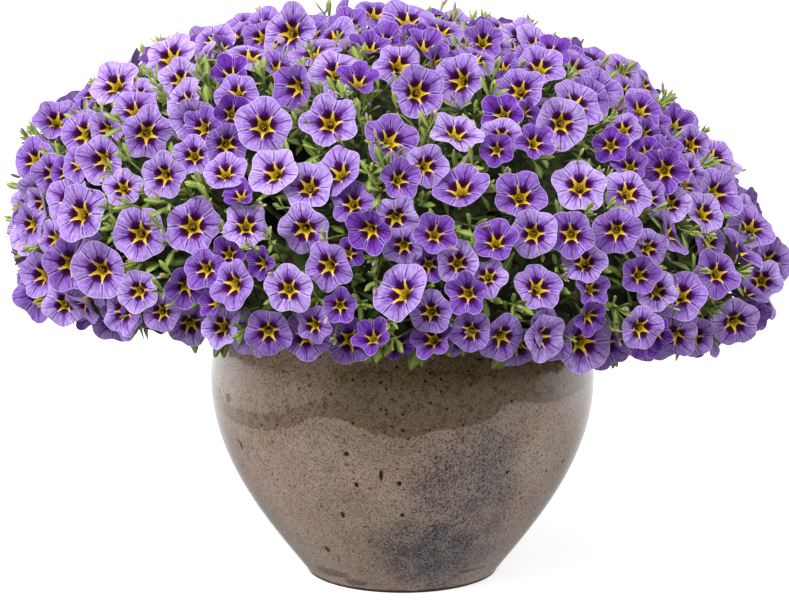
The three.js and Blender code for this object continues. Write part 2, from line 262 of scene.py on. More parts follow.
def placeBlooms(shoots):
    draw = seeded(23)
    blooms = []
    for index in range(growth["blooms"]):
        direction = spiralDirection(index, growth["blooms"], draw, crown["skirtEnd"])
        radius = growth["bloomYoung"] + growth["bloomGrowth"] * draw() ** 0.6
        depth = growth["bloomDepth"] * draw()
        blooms.append({
            "place": placeOn(direction, depth),
            "room": radius * growth["bloomRoom"],
            "depth": depth,
            "end": crown["skirtEnd"],
            "radius": radius,
            "roll": fullTurn * draw(),
            "sway": swayed(draw),
        })
    spread(blooms, shoots, growth["bloomRounds"])
    return blooms


def soilHeight(x, y):
    dome = ground["dome"] * (1 - (x * x + y * y) / ground["radius"] ** 2)
    return ground["level"] + dome + ground["ripple"] * math.sin(x / 7 + 1) * math.cos(y / 8 - 2)


# The stem's way from its hole in the soil to its neck under the crown, as Bezier corners.
def stemWay(item):
    direction = directionOf(item["place"], item["depth"])
    neck = placeOn(direction, growth["neckDepth"])
    head = placeOn(direction, 0)
    share = min(1, math.acos(direction[2]) / growth["stemOutermost"])
    foot = unit(direction * [1, 1, 0]) * growth["stemCircle"] * share
    top = soilHeight(foot[0], foot[1])
    low = np.array([foot[0], foot[1], top - growth["holeDepth"] + growth["stemSeat"]])
    high = np.array([foot[0], foot[1], top + growth["stemClear"]])
    inward = unit(neck - head) * growth["stemArch"] * np.linalg.norm(neck - high)
    return low, high, high + upward * growth["stemRise"], neck + inward, neck


def edgeAt(head, way, reach):
    edge = head + way * reach
    return placeOn(directionOf(edge, growth["coreRim"], growth["coreEnd"]), growth["coreRim"])


def clearOf(other, edge, seat):
    away = seat - other["seat"]
    berth = growth["shootBerth"] if other["fixed"] else np.linalg.norm(away) / 2 + growth["coreGap"]
    return np.dot(edge - other["seat"], unit(away)) > berth


def coreOf(spray, others):
    head = spray["place"]
    outward = directionOf(head, growth["coreTop"])
    outward = unit(outward * [1, 1, crown["radius"] / crown["rise"] if outward[2] > 0 else 1])
    level = unit(np.array([-outward[1], outward[0], 0]))
    rising = np.cross(outward, level)
    rim = []
    reaches = []
    for side in range(growth["coreSides"]):
        way = spoke(level, rising, fullTurn * side / growth["coreSides"])
        reach = growth["coreReach"]
        edge = edgeAt(head, way, reach)
        while not all(clearOf(other, edge, spray["seat"]) for other in others):
            reach *= 0.95
            edge = edgeAt(head, way, reach)
        rim.append(edge)
        reaches.append(reach)
    core = {name: [] for name in ("blooms", "spent", "tufts", "hem")}
    core.update(head=head, outward=outward, level=level, rising=rising, rim=rim, reaches=reaches,
                neck=sunk(spray, growth["neckDepth"]), seat=spray["seat"], way=stemWay(spray))
    return core


# A core's rim is a wheel of corners, and a place near it lies in one of its sectors.
def sectorOf(core, place):
    offset = place - core["head"]
    across = np.dot(offset, core["level"])
    over = np.dot(offset, core["rising"])
    sector = (math.atan2(over, across) / fullTurn % 1) * growth["coreSides"]
    before = int(sector) % growth["coreSides"]
    after = (before + 1) % growth["coreSides"]
    reach, edge = [between((core[key][before], core[key][after]), sector - int(sector))
                   for key in ("reaches", "rim")]
    return edge, math.hypot(across, over) / reach


def rootOf(core, place):
    edge, outwards = sectorOf(core, place)
    root = core["head"] + (edge - core["head"]) * min(growth["rootReach"], outwards)
    return root + (core["neck"] - root) * growth["rootSink"]


def facingOf(bloom, root):
    away = unit(bloom["place"] - root)
    lit = smoothStep(np.dot(away, frontward), -0.5, 0.5)
    facing = away * growth["faceAway"] + upward * growth["faceUp"] + frontward * growth["faceFront"] * lit
    facing = unit(facing + bloom["sway"] * growth["faceSway"])
    while np.dot(facing, away) < growth["faceLeast"]:
        facing = unit(facing + away * 0.2)
    return facing


def distanceToWay(point, start, end):
    way = end - start
    share = np.clip(np.dot(point - start, way) / np.dot(way, way), 0, 1)
    return np.linalg.norm(start + way * share - point)


# The nearest core that a place can reach with no leafy shoot in its way.
def coreFor(item, cores, shoots):
    seat = sunk(item, growth["coreRim"])
    free = [
        core for core in cores
        if all(distanceToWay(shoot["seat"], seat, core["seat"]) > growth["shootBerth"] for shoot in shoots)
    ]
    return min(free or cores, key=lambda core: np.linalg.norm(core["head"] - item["place"]))


def growPlant():
    shoots = placeShoots()
    sprays = placeSprays(shoots)
    blooms = placeBlooms(shoots)
    for item in sprays + shoots:
        item["seat"] = sunk(item, growth["coreRim"])
    cores = [coreOf(spray, [other for other in sprays + shoots if other is not spray]) for spray in sprays]
    for bloom in blooms:
        core = coreFor(bloom, cores, shoots)
        bloom["root"] = rootOf(core, bloom["place"])
        bloom["facing"] = facingOf(bloom, bloom["root"])
        core["blooms"].append(bloom)
    return shoots, cores, blooms


shoots, cores, blooms = growPlant()
print("placed:", len(blooms), "blooms on", len(cores), "sprays and", len(shoots), "shoots")


# Materials. Colours are sRGB hex values, and sizes are in millimetres.

def linear(hexColour):
    channels = [int(hexColour[i:i + 2], 16) / 255 for i in (1, 3, 5)]
    return [c / 12.92 if c <= 0.04045 else ((c + 0.055) / 1.055) ** 2.4 for c in channels] + [1]


def perMetre(size):
    return 1 / (size * metresPerMm)


# Adds a node. Each setting is an input, by name or number, or a property, and a socket is linked.
def addNode(tree, kind, settings=None):
    node = tree.nodes.new(kind)
    for name, value in (settings or {}).items():
        if isinstance(value, bpy.types.NodeSocket):
            tree.links.new(value, node.inputs[name])
        elif isinstance(name, int) or name in node.inputs:
            node.inputs[name].default_value = value
        else:
            setattr(node, name, value)
    return node


def treeOf(*values):
    return next(value.id_data for value in values if isinstance(value, bpy.types.NodeSocket))


def newMaterial(name):
    material = bpy.data.materials.new(name)
    material.use_nodes = True
    tree = material.node_tree
    tree.nodes.clear()
    return material, tree


# Closes a material with its shader, and with a relief of (height, strength, distance) where it has one.
def addSurface(tree, colour, settings, relief=None):
    if relief:
        height, strength, distance = relief
        bump = {"Height": height, "Strength": strength, "Distance": distance * metresPerMm}
        settings = {**settings, "Normal": addNode(tree, "ShaderNodeBump", bump).outputs[0]}
    shader = addNode(tree, "ShaderNodeBsdfPrincipled", {"Base Color": colour, **settings})
    addNode(tree, "ShaderNodeOutputMaterial", {0: shader.outputs[0]})


def bodyOf(tree):
    return addNode(tree, "ShaderNodeTexCoord").outputs["Object"]


def attributeOf(tree, name):
    return addNode(tree, "ShaderNodeAttribute", {"attribute_name": name}).outputs["Fac"]


def mapOf(tree, name):
    return partsOf(addNode(tree, "ShaderNodeUVMap", {"uv_map": name}).outputs[0])


def partsOf(vector):
    return addNode(treeOf(vector), "ShaderNodeSeparateXYZ", {0: vector}).outputs


def channelsOf(colour):
    return addNode(treeOf(colour), "ShaderNodeSeparateColor", {0: colour}).outputs


def combined(x, y, z):
    return addNode(treeOf(x), "ShaderNodeCombineXYZ", {0: x, 1: y, 2: z}).outputs[0]


def noise(place, scale, detail, roughness=0.5, distortion=0.0):
    settings = {"Vector": place, "Scale": scale, "Detail": detail, "Roughness": roughness}
    return addNode(treeOf(place), "ShaderNodeTexNoise", {**settings, "Distortion": distortion}).outputs


def cells(place, scale, feature="F1"):
    settings = {"feature": feature, "Vector": place, "Scale": scale}
    return addNode(treeOf(place), "ShaderNodeTexVoronoi", settings).outputs


def worked(operation, *values):
    settings = {"operation": operation, **dict(enumerate(values))}
    return addNode(treeOf(*values), "ShaderNodeMath", settings).outputs[0]


def times(first, second):
    return worked("MULTIPLY", first, second)


def timesPlus(value, factor, added):
    return worked("MULTIPLY_ADD", value, factor, added)


def minus(first, second):
    return worked("SUBTRACT", first, second)


# A mask from 0 to 1 as a value goes from one bound to the other.
def ranged(value, start, end, low=0.0, high=1.0):
    settings = {"interpolation_type": "SMOOTHSTEP", 0: value, 1: start, 2: end, 3: low, 4: high}
    return addNode(treeOf(value), "ShaderNodeMapRange", settings).outputs[0]


def mixed(factor, first, second):
    first, second = [linear(value) if isinstance(value, str) else value for value in (first, second)]
    settings = {"data_type": "RGBA", 0: factor, 6: first, 7: second}
    return addNode(treeOf(factor), "ShaderNodeMix", settings).outputs[2]


# Lays colours over a first one, each as its mask says.
def layered(colour, *layers):
    for mask, over in layers:
        colour = mixed(mask, colour, over)
    return colour


petal = {
    "deepInner": "#430f74",
    "deepOuter": "#7230aa",
    "paleInner": "#7038a4",
    "paleOuter": "#bc9ee2",
    # Vein colour, also laid down the folds as painted shade in the creases.
    "vein": "#2e0858",
    # Pale colour for the real pale streaks, and for the painted highlights beside the seams and along the
    # rim.
    "light": "#dccff2",
    "ring": "#4f0a58",
    "ringInner": "#2a0428",
    "star": "#eac430",
    "starTip": "#f6e8a6",
    # Darker streaks in the star, and painted shade towards the throat.
    "starStreaksAndThroatShade": "#92720c",
    # Painted shade deep in the throat.
    "throatShade": "#2c2606",
    "old": "#c4a2b4",
    "starReach": 0.52,  # shares of the bloom's radius
    "starBody": 0.208,
    "starSlender": 4.8,
    "ringReach": 0.50,
    "roughness": 0.55,
    "specular": 0.25,
    "sheen": 0.03,
}


# The face of a corolla: soft living tissue, matt with a velvet bloom, its veins darker than the blade, with
# painted shade in its creases and painted highlights beside the seams and along the rim.
def petalFace():
    material, tree = newMaterial("Corolla face, velvety tissue")
    lobes, share, _ = mapOf(tree, "Lobe")
    tone = attributeOf(tree, "tone")
    strayed = timesPlus(noise(bodyOf(tree), perMetre(2.6), 3.0)[0], 0.06, -0.03)
    out = worked("ADD", share, strayed)
    fromMiddle = worked("PINGPONG", worked("ADD", lobes, strayed), 0.5)
    fromSeam = minus(0.5, fromMiddle)

    # Fine veins fan out along each lobe, coarser here than the real ones so that they show.
    fan = combined(times(lobes, 13.0), times(share, 3.2), times(tone, 37.0))
    fine = noise(fan, 1.0, 3.0, 0.6, 0.5)[0]
    net = cells(fan, 0.9, "DISTANCE_TO_EDGE")[0]
    paleness = worked("ADD", out, timesPlus(noise(fan, 0.16, 1.0)[0], 0.7, -0.35))
    inner = mixed(tone, petal["deepInner"], petal["paleInner"])
    outer = mixed(tone, petal["deepOuter"], petal["paleOuter"])

    # A dark line down each lobe's middle and along each seam, partly the vein's own colour and partly painted
    # shade in the crease, with a painted highlight on the ridge beside it.
    seamLine = times(fromSeam, out)
    middleFold = ranged(times(fromMiddle, out), 0.022, 0.008)
    folds = worked("MAXIMUM", middleFold, ranged(seamLine, 0.021, 0.007, 0.0, 0.9))
    ridgeHighlight = worked("ABSOLUTE", minus(seamLine, 0.042))
    limb = layered(
        inner,
        (ranged(paleness, 0.32, 0.86), outer),
        (ranged(fine, 0.48, 0.72, 0.0, 0.45), petal["vein"]),
        (ranged(net, 0.10, 0.02, 0.0, 0.38), petal["vein"]),
        (times(ranged(fine, 0.46, 0.24, 0.0, 0.6), timesPlus(tone, 0.7, 0.3)), petal["light"]),
        # A painted highlight on the ridge beside each seam.
        (ranged(ridgeHighlight, 0.022, 0.0, 0.0, 0.3), petal["light"]),
        # Dark folds: partly the vein's own colour, partly painted shade in the creases.
        (times(folds, ranged(out, 1.05, 0.7, 0.35, 0.9)), petal["vein"]),
        # A painted highlight along the rim, where the thin edge catches the light.
        (ranged(share, 0.955, 0.99, 0.0, 0.4), petal["light"]),
        (times(attributeOf(tree, "age"), 0.85), petal["old"]),
    )

    ringEdge = timesPlus(fine, 0.24, minus(timesPlus(fromMiddle, -0.20, petal["ringReach"]), 0.12))
    fromRing = minus(out, ringEdge)
    ring = mixed(ranged(fromRing, -0.02, -0.16), petal["ring"], petal["ringInner"])
    slender = worked("POWER", times(fromMiddle, 2.0), petal["starSlender"])
    starEdge = timesPlus(slender, petal["starReach"] - petal["starBody"], petal["starBody"])
    star = layered(
        petal["star"],
        # Painted shade: the gold darkens towards the throat.
        (ranged(share, 0.24, 0.12), petal["starStreaksAndThroatShade"]),
        # Darker streaks run through the gold.
        (ranged(fine, 0.45, 0.65, 0.0, 0.6), petal["starStreaksAndThroatShade"]),
        (ranged(share, 0.28, 0.48, 0.0, 0.9), petal["starTip"]),
    )
    colour = layered(
        limb,
        (ranged(fromRing, 0.035, -0.035), ring),
        (ranged(minus(out, starEdge), 0.012, -0.012), star),
        # Painted shade deep in the throat, at its middle.
        (ranged(share, 0.11, 0.07), petal["throatShade"]),
    )
    addSurface(tree, colour, {
        "Roughness": petal["roughness"],
        "IOR": 1.4,
        "Specular IOR Level": petal["specular"],
        "Sheen Weight": petal["sheen"],
        "Sheen Roughness": 0.4,
    }, (timesPlus(folds, -1.4, fine), 0.55, 0.4))
    return material


underside = {
    "limbDeep": "#6f4c9c",
    "limbPale": "#a78cc8",
    "vein": "#4f2d78",
    "tube": "#9a7a2c",
    "tubeVein": "#5d3c30",
    "green": "#7f8f4a",
    "old": "#bfa79c",
}


# The back of a corolla, its tube and the closed buds: paler and duller than the face.
def petalBack():
    material, tree = newMaterial("Corolla back and tube, downy tissue")
    lobes, share, _ = mapOf(tree, "Lobe")
    tone = attributeOf(tree, "tone")
    fine = noise(combined(times(lobes, 9.0), times(share, 2.0), times(tone, 23.0)), 1.0, 2.0)[0]
    tube = mixed(ranged(fine, 0.5, 0.7, 0.0, 0.7), underside["tube"], underside["tubeVein"])
    colour = layered(
        mixed(tone, underside["limbDeep"], underside["limbPale"]),
        (ranged(fine, 0.45, 0.75, 0.0, 0.5), underside["vein"]),
        (ranged(share, 0.62, 0.40), tube),
        (ranged(share, 0.20, 0.08), underside["green"]),
        (times(attributeOf(tree, "age"), 0.7), underside["old"]),
    )
    addSurface(tree, colour, {"Roughness": 0.6, "IOR": 1.4}, (fine, 0.4, 0.3))
    return material


blade = {
    "young": "#bccb60",
    "grown": "#89a048",
    "old": "#567034",
    "rib": "#c3cf8c",
    "underside": "#a6b37a",
    "roughness": 0.46,
}


# Leaf blades: thin and a little sticky with down, pale at the rib and margin, young ones yellower.
def leafBlade():
    material, tree = newMaterial("Leaf blade, downy and soft")
    side, up, _ = mapOf(tree, "Leaf")
    tone = attributeOf(tree, "tone")
    across = worked("FRACT", times(side, 0.999))
    fromRib = worked("ABSOLUTE", minus(across, 0.5))
    mottle = noise(combined(times(across, 3.0), times(up, 7.0), times(tone, 61.0)), 1.0, 3.0)[0]
    veins = worked("PINGPONG", timesPlus(fromRib, -6.0, times(up, 9.0)), 0.5)
    colour = layered(
        blade["old"],
        (ranged(tone, 0.0, 0.5), blade["grown"]),
        (ranged(tone, 0.5, 1.0), blade["young"]),
        (ranged(mottle, 0.35, 0.7, 0.0, 0.35), blade["old"]),
        (ranged(veins, 0.1, 0.0, 0.0, 0.22), blade["rib"]),
        (ranged(fromRib, 0.06, 0.01, 0.0, 0.7), blade["rib"]),
        (ranged(fromRib, 0.42, 0.5, 0.0, 0.45), blade["rib"]),
        (ranged(up, 0.25, 0.0, 0.0, 0.5), blade["rib"]),
        (times(worked("GREATER_THAN", side, 1.5), 0.55), blade["underside"]),
    )
    relief = worked("ADD", mottle, ranged(fromRib, 0.08, 0.0, 0.0, -1.0))
    addSurface(tree, colour, {"Roughness": blade["roughness"], "IOR": 1.42}, (relief, 0.4, 0.3))
    return material


stalk = {
    "green": "#86984a",
    "brown": "#6b6a3c",
    "patch": 9,
}


# Stems and stalks: green and a little woody in patches.
def greenStalk():
    material, tree = newMaterial("Stalk, green and hairy")
    body = bodyOf(tree)
    patches = noise(body, perMetre(stalk["patch"]), 3.0)[0]
    colour = mixed(ranged(patches, 0.4, 0.65), stalk["green"], stalk["brown"])
    down = noise(body, perMetre(0.7), 1.0)[0]
    addSurface(tree, colour, {"Roughness": 0.6, "IOR": 1.42}, (down, 0.4, 0.2))
    return material


thicket = {
    # The dark and lighter greens are painted shade inside each spray; the brown is dead leaves.
    "dark": "#1f2a12",
    "lighter": "#465a2a",
    "dead": "#3a2f1c",
    "leafWidth": 4,
    "spill": 9,  # past the rim, so that neighbours close up
    "clump": 14,  # radius of the one on a shoot's stem
    "clumpDepth": 38,
}


# The imported small leaves and twigs inside each spray, which get next to no light: their dark colour is
# painted shade, with dead brown leaves among them.
def thicketInPaintedShade():
    material, tree = newMaterial("Inner thicket, packed leaves and twigs in painted shade")
    leaves = cells(bodyOf(tree), perMetre(thicket["leafWidth"]))
    shares = channelsOf(leaves["Color"])
    # Painted shade of packed leaves, with dead brown ones among them.
    colour = layered(
        thicket["dark"],
        (shares[0], thicket["lighter"]),
        (ranged(shares[1], 0.7, 0.8), thicket["dead"]),
    )
    addSurface(tree, colour, {"Roughness": 0.8}, (leaves["Distance"], 1.0, 2))
    return material


pollen = {
    "cream": "#b8a650",
    "gold": "#80640e",
}


# Anthers and stigma: powdery pale yellow.
def pollenDust():
    material, tree = newMaterial("Anther, dusty pollen")
    grains = noise(bodyOf(tree), perMetre(0.5), 1.0)[0]
    addSurface(tree, mixed(grains, pollen["cream"], pollen["gold"]), {"Roughness": 0.9})
    return material


glaze = {
    "taupe": "#ab9786",
    "rose": "#b89988",
    "ochre": "#ab8f60",
    "beige": "#c4b1a1",
    "slate": "#65616a",
    "slateSpots": [((26, -84, 34), 52, 0.95), ((44, -106, 82), 60, 0.65)],  # place, reach and strength
    "paleSpot": ((88, -88, 96), 30, 0.8),
    "band": "#86704f",
    "bandEdge": "#372c24",
    "bandLine": [  # degrees round from the front, and the height there
        (-180, 124), (-150, 131), (-118, 119), (-85, 124), (-61, 115), (-47, 115), (-37, 119.5), (-27, 128.5),
        (-22, 130.5), (-12, 125.5), (-3, 120), (5, 120.5), (10, 123.5), (20, 125.5), (26, 130), (33, 137),
        (42, 134), (53, 132), (75, 134), (105, 121), (140, 130), (180, 124),
    ],
    "bandTop": 200,  # the line's curve reaches up to here
    "bandFray": 3.5,
    "bandStripe": 10.5,
    "dark": "#15100c",
    "pale": "#d4c4b4",
    "clay": "#433028",
    "footLine": 2.0,
    "blotch": 62,
    "cloud": 17,
    "wave": 5,
    "speckle": 1.3,
    "peck": 3.4,
    "pit": 13,
    "wallRadius": 110,  # where the marks are
    "pits": [  # degrees round from the front, height, half width and half height
        (-16.5, 107, 1.7, 1.5), (-6.5, 93.5, 1.2, 3.6), (-1.1, 88, 1.5, 1.8), (-14.2, 86, 1.2, 1.8),
        (-20.7, 62.5, 1.3, 2.6), (-33.6, 32, 2.2, 2.4), (-62.2, 128, 3.2, 2.8), (-58, 98, 1.4, 2.8),
        (-66, 51, 1.6, 1.6), (61, 86, 1.5, 1.5),
    ],
    "smears": [(-40, 11, 23, 3.6), (-27, 6, 14, 2.4), (38, 14, 20, 1.4)],
    "roughness": 0.15,
    "coat": 0.7,
}


# Stoneware under a running gloss glaze: brown and slate patches, iron specks and burst pinholes.
def potGlaze():
    material, tree = newMaterial("Stoneware, thrown and gloss glazed")
    body = bodyOf(tree)
    x, y, z = partsOf(body)
    height = times(z, 1 / metresPerMm)
    turn = worked("ARCTAN2", x, times(y, -1.0))
    hues = channelsOf(noise(body, perMetre(glaze["blotch"]), 4.0, 0.5, 0.6)["Color"])
    cloud = noise(body, perMetre(glaze["cloud"]), 5.0, 0.6)[0]
    slateMask = ranged(hues[2], 0.58, 0.72, 0.0, 0.5)
    for spot in glaze["slateSpots"]:
        slateMask = worked("MAXIMUM", slateMask, spotMask(body, cloud, spot))
    fired = layered(
        glaze["taupe"],
        (ranged(hues[0], 0.4, 0.6), glaze["rose"]),
        (ranged(hues[1], 0.50, 0.70, 0.0, 0.25), glaze["ochre"]),
        (slateMask, glaze["slate"]),
        (spotMask(body, cloud, glaze["paleSpot"]), glaze["beige"]),
        (ranged(cloud, 0.35, 0.7, 0.0, 0.3), glaze["pale"]),
    )

    # The brown overglaze ran down from the rim to a wavy line, and at the left it is only a stripe.
    fray = glaze["bandFray"]
    stripe = glaze["bandStripe"]
    wave = noise(body, perMetre(glaze["wave"]), 4.0, 0.65)[0]
    line = timesPlus(wave, 2 * fray, minus(heightCurve(turn, glaze["bandLine"]), fray))
    aboveLine = minus(height, line)
    overStripe = times(ranged(aboveLine, stripe - 2, stripe + 2), ranged(turn, -0.30, -0.45, 0.0, 0.6))
    bandMask = times(ranged(aboveLine, -1.5, 1.5), minus(1.0, overStripe))
    edgeMask = ranged(worked("ABSOLUTE", aboveLine), 1.8, 0.0, 0.0, 0.3)
    mottle = times(bandMask, ranged(wave, 0.50, 0.64, 0.0, 0.55))

    specks = noise(body, perMetre(glaze["speckle"]), 2.0, 0.7)[0]
    darkSpecks = times(ranged(specks, 0.52, 0.64), timesPlus(slateMask, 0.35, 0.62))
    paleSpecks = times(ranged(specks, 0.46, 0.34), timesPlus(bandMask, -0.42, 0.6))
    peckMask = holeMask(body, glaze["peck"], (0.6, 0.30), 0.05)
    pitMask = holeMask(body, glaze["pit"], (0.62, 0.12), 0.02)
    for mark in glaze["pits"]:
        pitMask = worked("MAXIMUM", pitMask, markMask(turn, height, cloud, mark))
    smears = [markMask(turn, height, cloud, mark) for mark in glaze["smears"]]
    footMask = ranged(timesPlus(cloud, 2.0, height), glaze["footLine"] + 2, glaze["footLine"])
    colour = layered(
        fired,
        (times(bandMask, ranged(turn, -0.60, -0.25, 0.60, 0.88)), glaze["band"]),
        (worked("MAXIMUM", edgeMask, mottle), glaze["bandEdge"]),
        (darkSpecks, glaze["dark"]),
        (paleSpecks, glaze["pale"]),
        (times(peckMask, timesPlus(bandMask, 0.35, 0.6)), glaze["dark"]),
        (times(pitMask, 0.92), glaze["dark"]),
        *[(times(mask, 0.55), glaze["bandEdge"]) for mask in smears],
        (footMask, glaze["clay"]),
    )

    rough = worked("MAXIMUM", timesPlus(cloud, 0.14, glaze["roughness"] - 0.07), times(footMask, 0.8))
    peel = noise(body, perMetre(glaze["wave"]), 3.0)[0]
    relief = timesPlus(specks, 0.35, timesPlus(bandMask, 0.9, timesPlus(pitMask, -2.2, peel)))
    settings = {"IOR": 1.52, "Coat Weight": glaze["coat"], "Coat Roughness": 0.05, "Roughness": rough}
    addSurface(tree, colour, settings, (relief, 0.55, 0.5))
    return material


# A height that changes round the wall, from pairs of degrees and millimetres.
def heightCurve(turn, points):
    top = glaze["bandTop"]
    node = addNode(treeOf(turn), "ShaderNodeFloatCurve", {1: timesPlus(turn, 0.5 / math.pi, 0.5)})
    curve = node.mapping.curves[0]
    for degrees, height in points[1:-1]:
        curve.points.new(degrees / 360 + 0.5, height / top)
    curve.points[0].location = (0, points[0][1] / top)
    curve.points[-1].location = (1, points[-1][1] / top)
    node.mapping.update()
    return times(node.outputs[0], top)


# A soft patch of glaze round a point of the wall, its edge frayed by the clouds.
def spotMask(body, cloud, spot):
    place, reach, strength = spot
    middle = [value * metresPerMm for value in place]
    settings = {"operation": "DISTANCE", 0: body, 1: middle}
    away = addNode(treeOf(body), "ShaderNodeVectorMath", settings).outputs["Value"]
    away = timesPlus(cloud, 0.035, minus(away, 0.0175))
    return ranged(away, 1.1 * reach * metresPerMm, 0.25 * reach * metresPerMm, 0.0, strength)


# Burst bubbles in some cells: sizes give the share of cells without one and the widest radius.
def holeMask(body, width, sizes, soft):
    holes = cells(body, perMetre(width))
    radius = ranged(channelsOf(holes["Color"])[0], sizes[0], 1.0, 0.0, sizes[1])
    return ranged(minus(holes["Distance"], radius), soft, -soft)


# A small mark burnt into the wall at a turn and a height.
def markMask(turn, height, cloud, mark):
    degrees, middle, halfWidth, halfHeight = mark
    away = times(minus(turn, math.radians(degrees)), glaze["wallRadius"] / halfWidth)
    above = times(minus(height, middle), 1 / halfHeight)
    squares = timesPlus(away, away, times(above, above))
    return ranged(timesPlus(cloud, 1.2, squares), 1.9, 1.2)


mix = {
    "peat": "#2a1d14",
    "bark": "#4a3524",
    "grit": "#8d8676",
    "crumb": 2.2,
}


# Potting mix: peat crumbs with bark and grit, dull and damp.
def pottingMix():
    material, tree = newMaterial("Potting mix, peat and bark")
    crumbs = cells(bodyOf(tree), perMetre(mix["crumb"]))
    shares = channelsOf(crumbs["Color"])
    colour = layered(mix["peat"], (shares[0], mix["bark"]), (ranged(shares[1], 0.93, 0.96), mix["grit"]))
    addSurface(tree, colour, {"Roughness": 0.92}, (crumbs["Distance"], 1.0, 1.2))
    return material


perlite = {
    "white": "#d9d4c6",
    "stained": "#9a8c74",
}


# Perlite: popped volcanic glass, white and stained by the peat.
def perliteGrain():
    material, tree = newMaterial("Perlite, popped and stained")
    stain = noise(bodyOf(tree), perMetre(2), 3.0)[0]
    colour = mixed(ranged(stain, 0.4, 0.65), perlite["white"], perlite["stained"])
    addSurface(tree, colour, {"Roughness": 0.9}, (stain, 0.8, 0.3))
    return material


materials = {
    "face": petalFace(),
    "back": petalBack(),
    "pollen": pollenDust(),
    "blade": leafBlade(),
    "stalk": greenStalk(),
    "thicket": thicketInPaintedShade(),
    "glaze": potGlaze(),
    "mix": pottingMix(),
    "perlite": perliteGrain(),
}
print("materials:", len(materials))


# Meshes

def asMesh(name, bm):
    mesh = bpy.data.meshes.new(name)
    bm.to_mesh(mesh)
    bm.free()
    return mesh


def finishPiece(name, bm, looks, replaced=(), levels=0):
    bmesh.ops.scale(bm, vec=(metresPerMm,) * 3, verts=bm.verts)
    mesh = asMesh(name, bm)
    mesh.shade_smooth()
    for look in looks:
        mesh.materials.append(materials[look])
    piece = bpy.data.objects.new(name, mesh)
    scene.collection.objects.link(piece)
    if levels:
        smoother = piece.modifiers.new("smoother", "SUBSURF")
        smoother.levels = levels
        smoother.render_levels = levels
        smoother.uv_smooth = "NONE"
    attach(piece, "root")
    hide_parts(*replaced)
    return piece


# Adds the map of a pattern, the bake map and what a material reads at the corners.
def addLayers(bm, pattern):
    for name in (pattern, "OFBake"):
        bm.loops.layers.uv.new(name)
    for name in ("tone", "age") if pattern == "Lobe" else ("tone",):
        bm.verts.layers.float.new(name)
    return bm.loops.layers.uv[pattern]


def bakeOf(bm):
    return bm.loops.layers.uv["OFBake"]


# A profile of (radius, height) corners turned once round the Z axis.
def turned(profile, steps):
    bm = bmesh.new()
    corners = [bm.verts.new((radius, 0, height)) for radius, height in profile]
    edges = [bm.edges.new(pair) for pair in zip(corners, corners[1:])]
    bmesh.ops.spin(bm, geom=corners + edges, cent=(0, 0, 0), axis=(0, 0, 1), angle=fullTurn,
                   steps=steps, use_merge=True, use_duplicate=False)
    bmesh.ops.remove_doubles(bm, verts=bm.verts, dist=1e-4)
    bmesh.ops.recalc_face_normals(bm, faces=bm.faces)
    return bm


# An upright prism from 0 to 1 along Z, cut across, that stalks, leaves and buds are shaped from.
def prism(sides, cuts):
    bm = bmesh.new()
    bmesh.ops.create_cone(bm, cap_ends=True, segments=sides, radius1=1, radius2=1, depth=1,
                          matrix=Matrix.Translation((0, 0, 0.5)))
    upright = [edge for edge in bm.edges if abs(edge.verts[0].co.z - edge.verts[1].co.z) > 0.5]
    bmesh.ops.subdivide_edges(bm, edges=upright, cuts=cuts, use_grid_fill=True)
    return bm


# Adds a copy of a small mesh and gives its new corners and faces.
def addCopy(bm, name):
    corners = len(bm.verts)
    faces = len(bm.faces)
    bm.from_mesh(templates[name])
    bm.verts.ensure_lookup_table()
    bm.faces.ensure_lookup_table()
    return bm.verts[corners:], bm.faces[faces:]


def basis(origin, side, over, axis):
    matrix = Matrix((side, over, axis)).transposed().to_4x4()
    matrix.translation = Vector(origin)
    return matrix


def sideOf(way):
    side = Vector((-way[1], way[0], 0))
    return side.normalized() if side.length > 1e-6 else Vector((1, 0, 0))


def curveAt(corners, share):
    points = [Vector(corner) for corner in corners]
    while len(points) > 1:
        points = [a.lerp(b, share) for a, b in zip(points, points[1:])]
    return points[0]


# The value at a share of a list of (share, value) pairs.
def along(pairs, share):
    return float(np.interp(share, *zip(*pairs)))


# The angle round the Z axis, a whole number of turns away so that it comes nearest to another.
def angleNear(spot, middle):
    angle = math.atan2(spot.y, spot.x)
    return angle + fullTurn * round((middle - angle) / fullTurn)


# Corollas

corolla = {
    "segments": 20,
    "lobes": 5,
    "profile": [  # radius and height, from the throat over the rim and down the back to the tube's foot
        (0.0, -0.62), (0.15, -0.40), (0.27, -0.13), (0.60, -0.02), (1.0, 0.0), (0.24, -0.26), (0.0, -1.12),
    ],
    "shares": [0.0, 0.15, 0.27, 0.60, 1.0, 0.45, 0.0],  # how far out its pattern is at each corner
    "rim": 4,  # which corner is the rim
    "throat": 0.24,  # nothing changes within it
    "outline": 1.03,
    "oval": 0.06,
    "wave": 0.03,
    "fray": 0.04,
    "pleat": 0.036,
    "tilt": 0.50,
    "twist": 0.20,
    "uneven": 0.14,
    "crumple": 0.12,
    "shutIn": 0.72,  # how far a shut one's rim comes in and up
    "shutUp": 0.75,
    "lean": 0.62,
    "leastFront": 0.40,
    "scale": 0.98,
    "youngShare": 0.27,
    "young": {"scale": (0.79, 0.96), "tone": (0.0, 0.30), "cup": (0.04, 0.28), "notch": (0.22, 0.42)},
    "grown": {"scale": (0.96, 1.12), "tone": (0.35, 1.0), "cup": (-0.16, 0.10), "notch": (0.10, 0.30)},
}


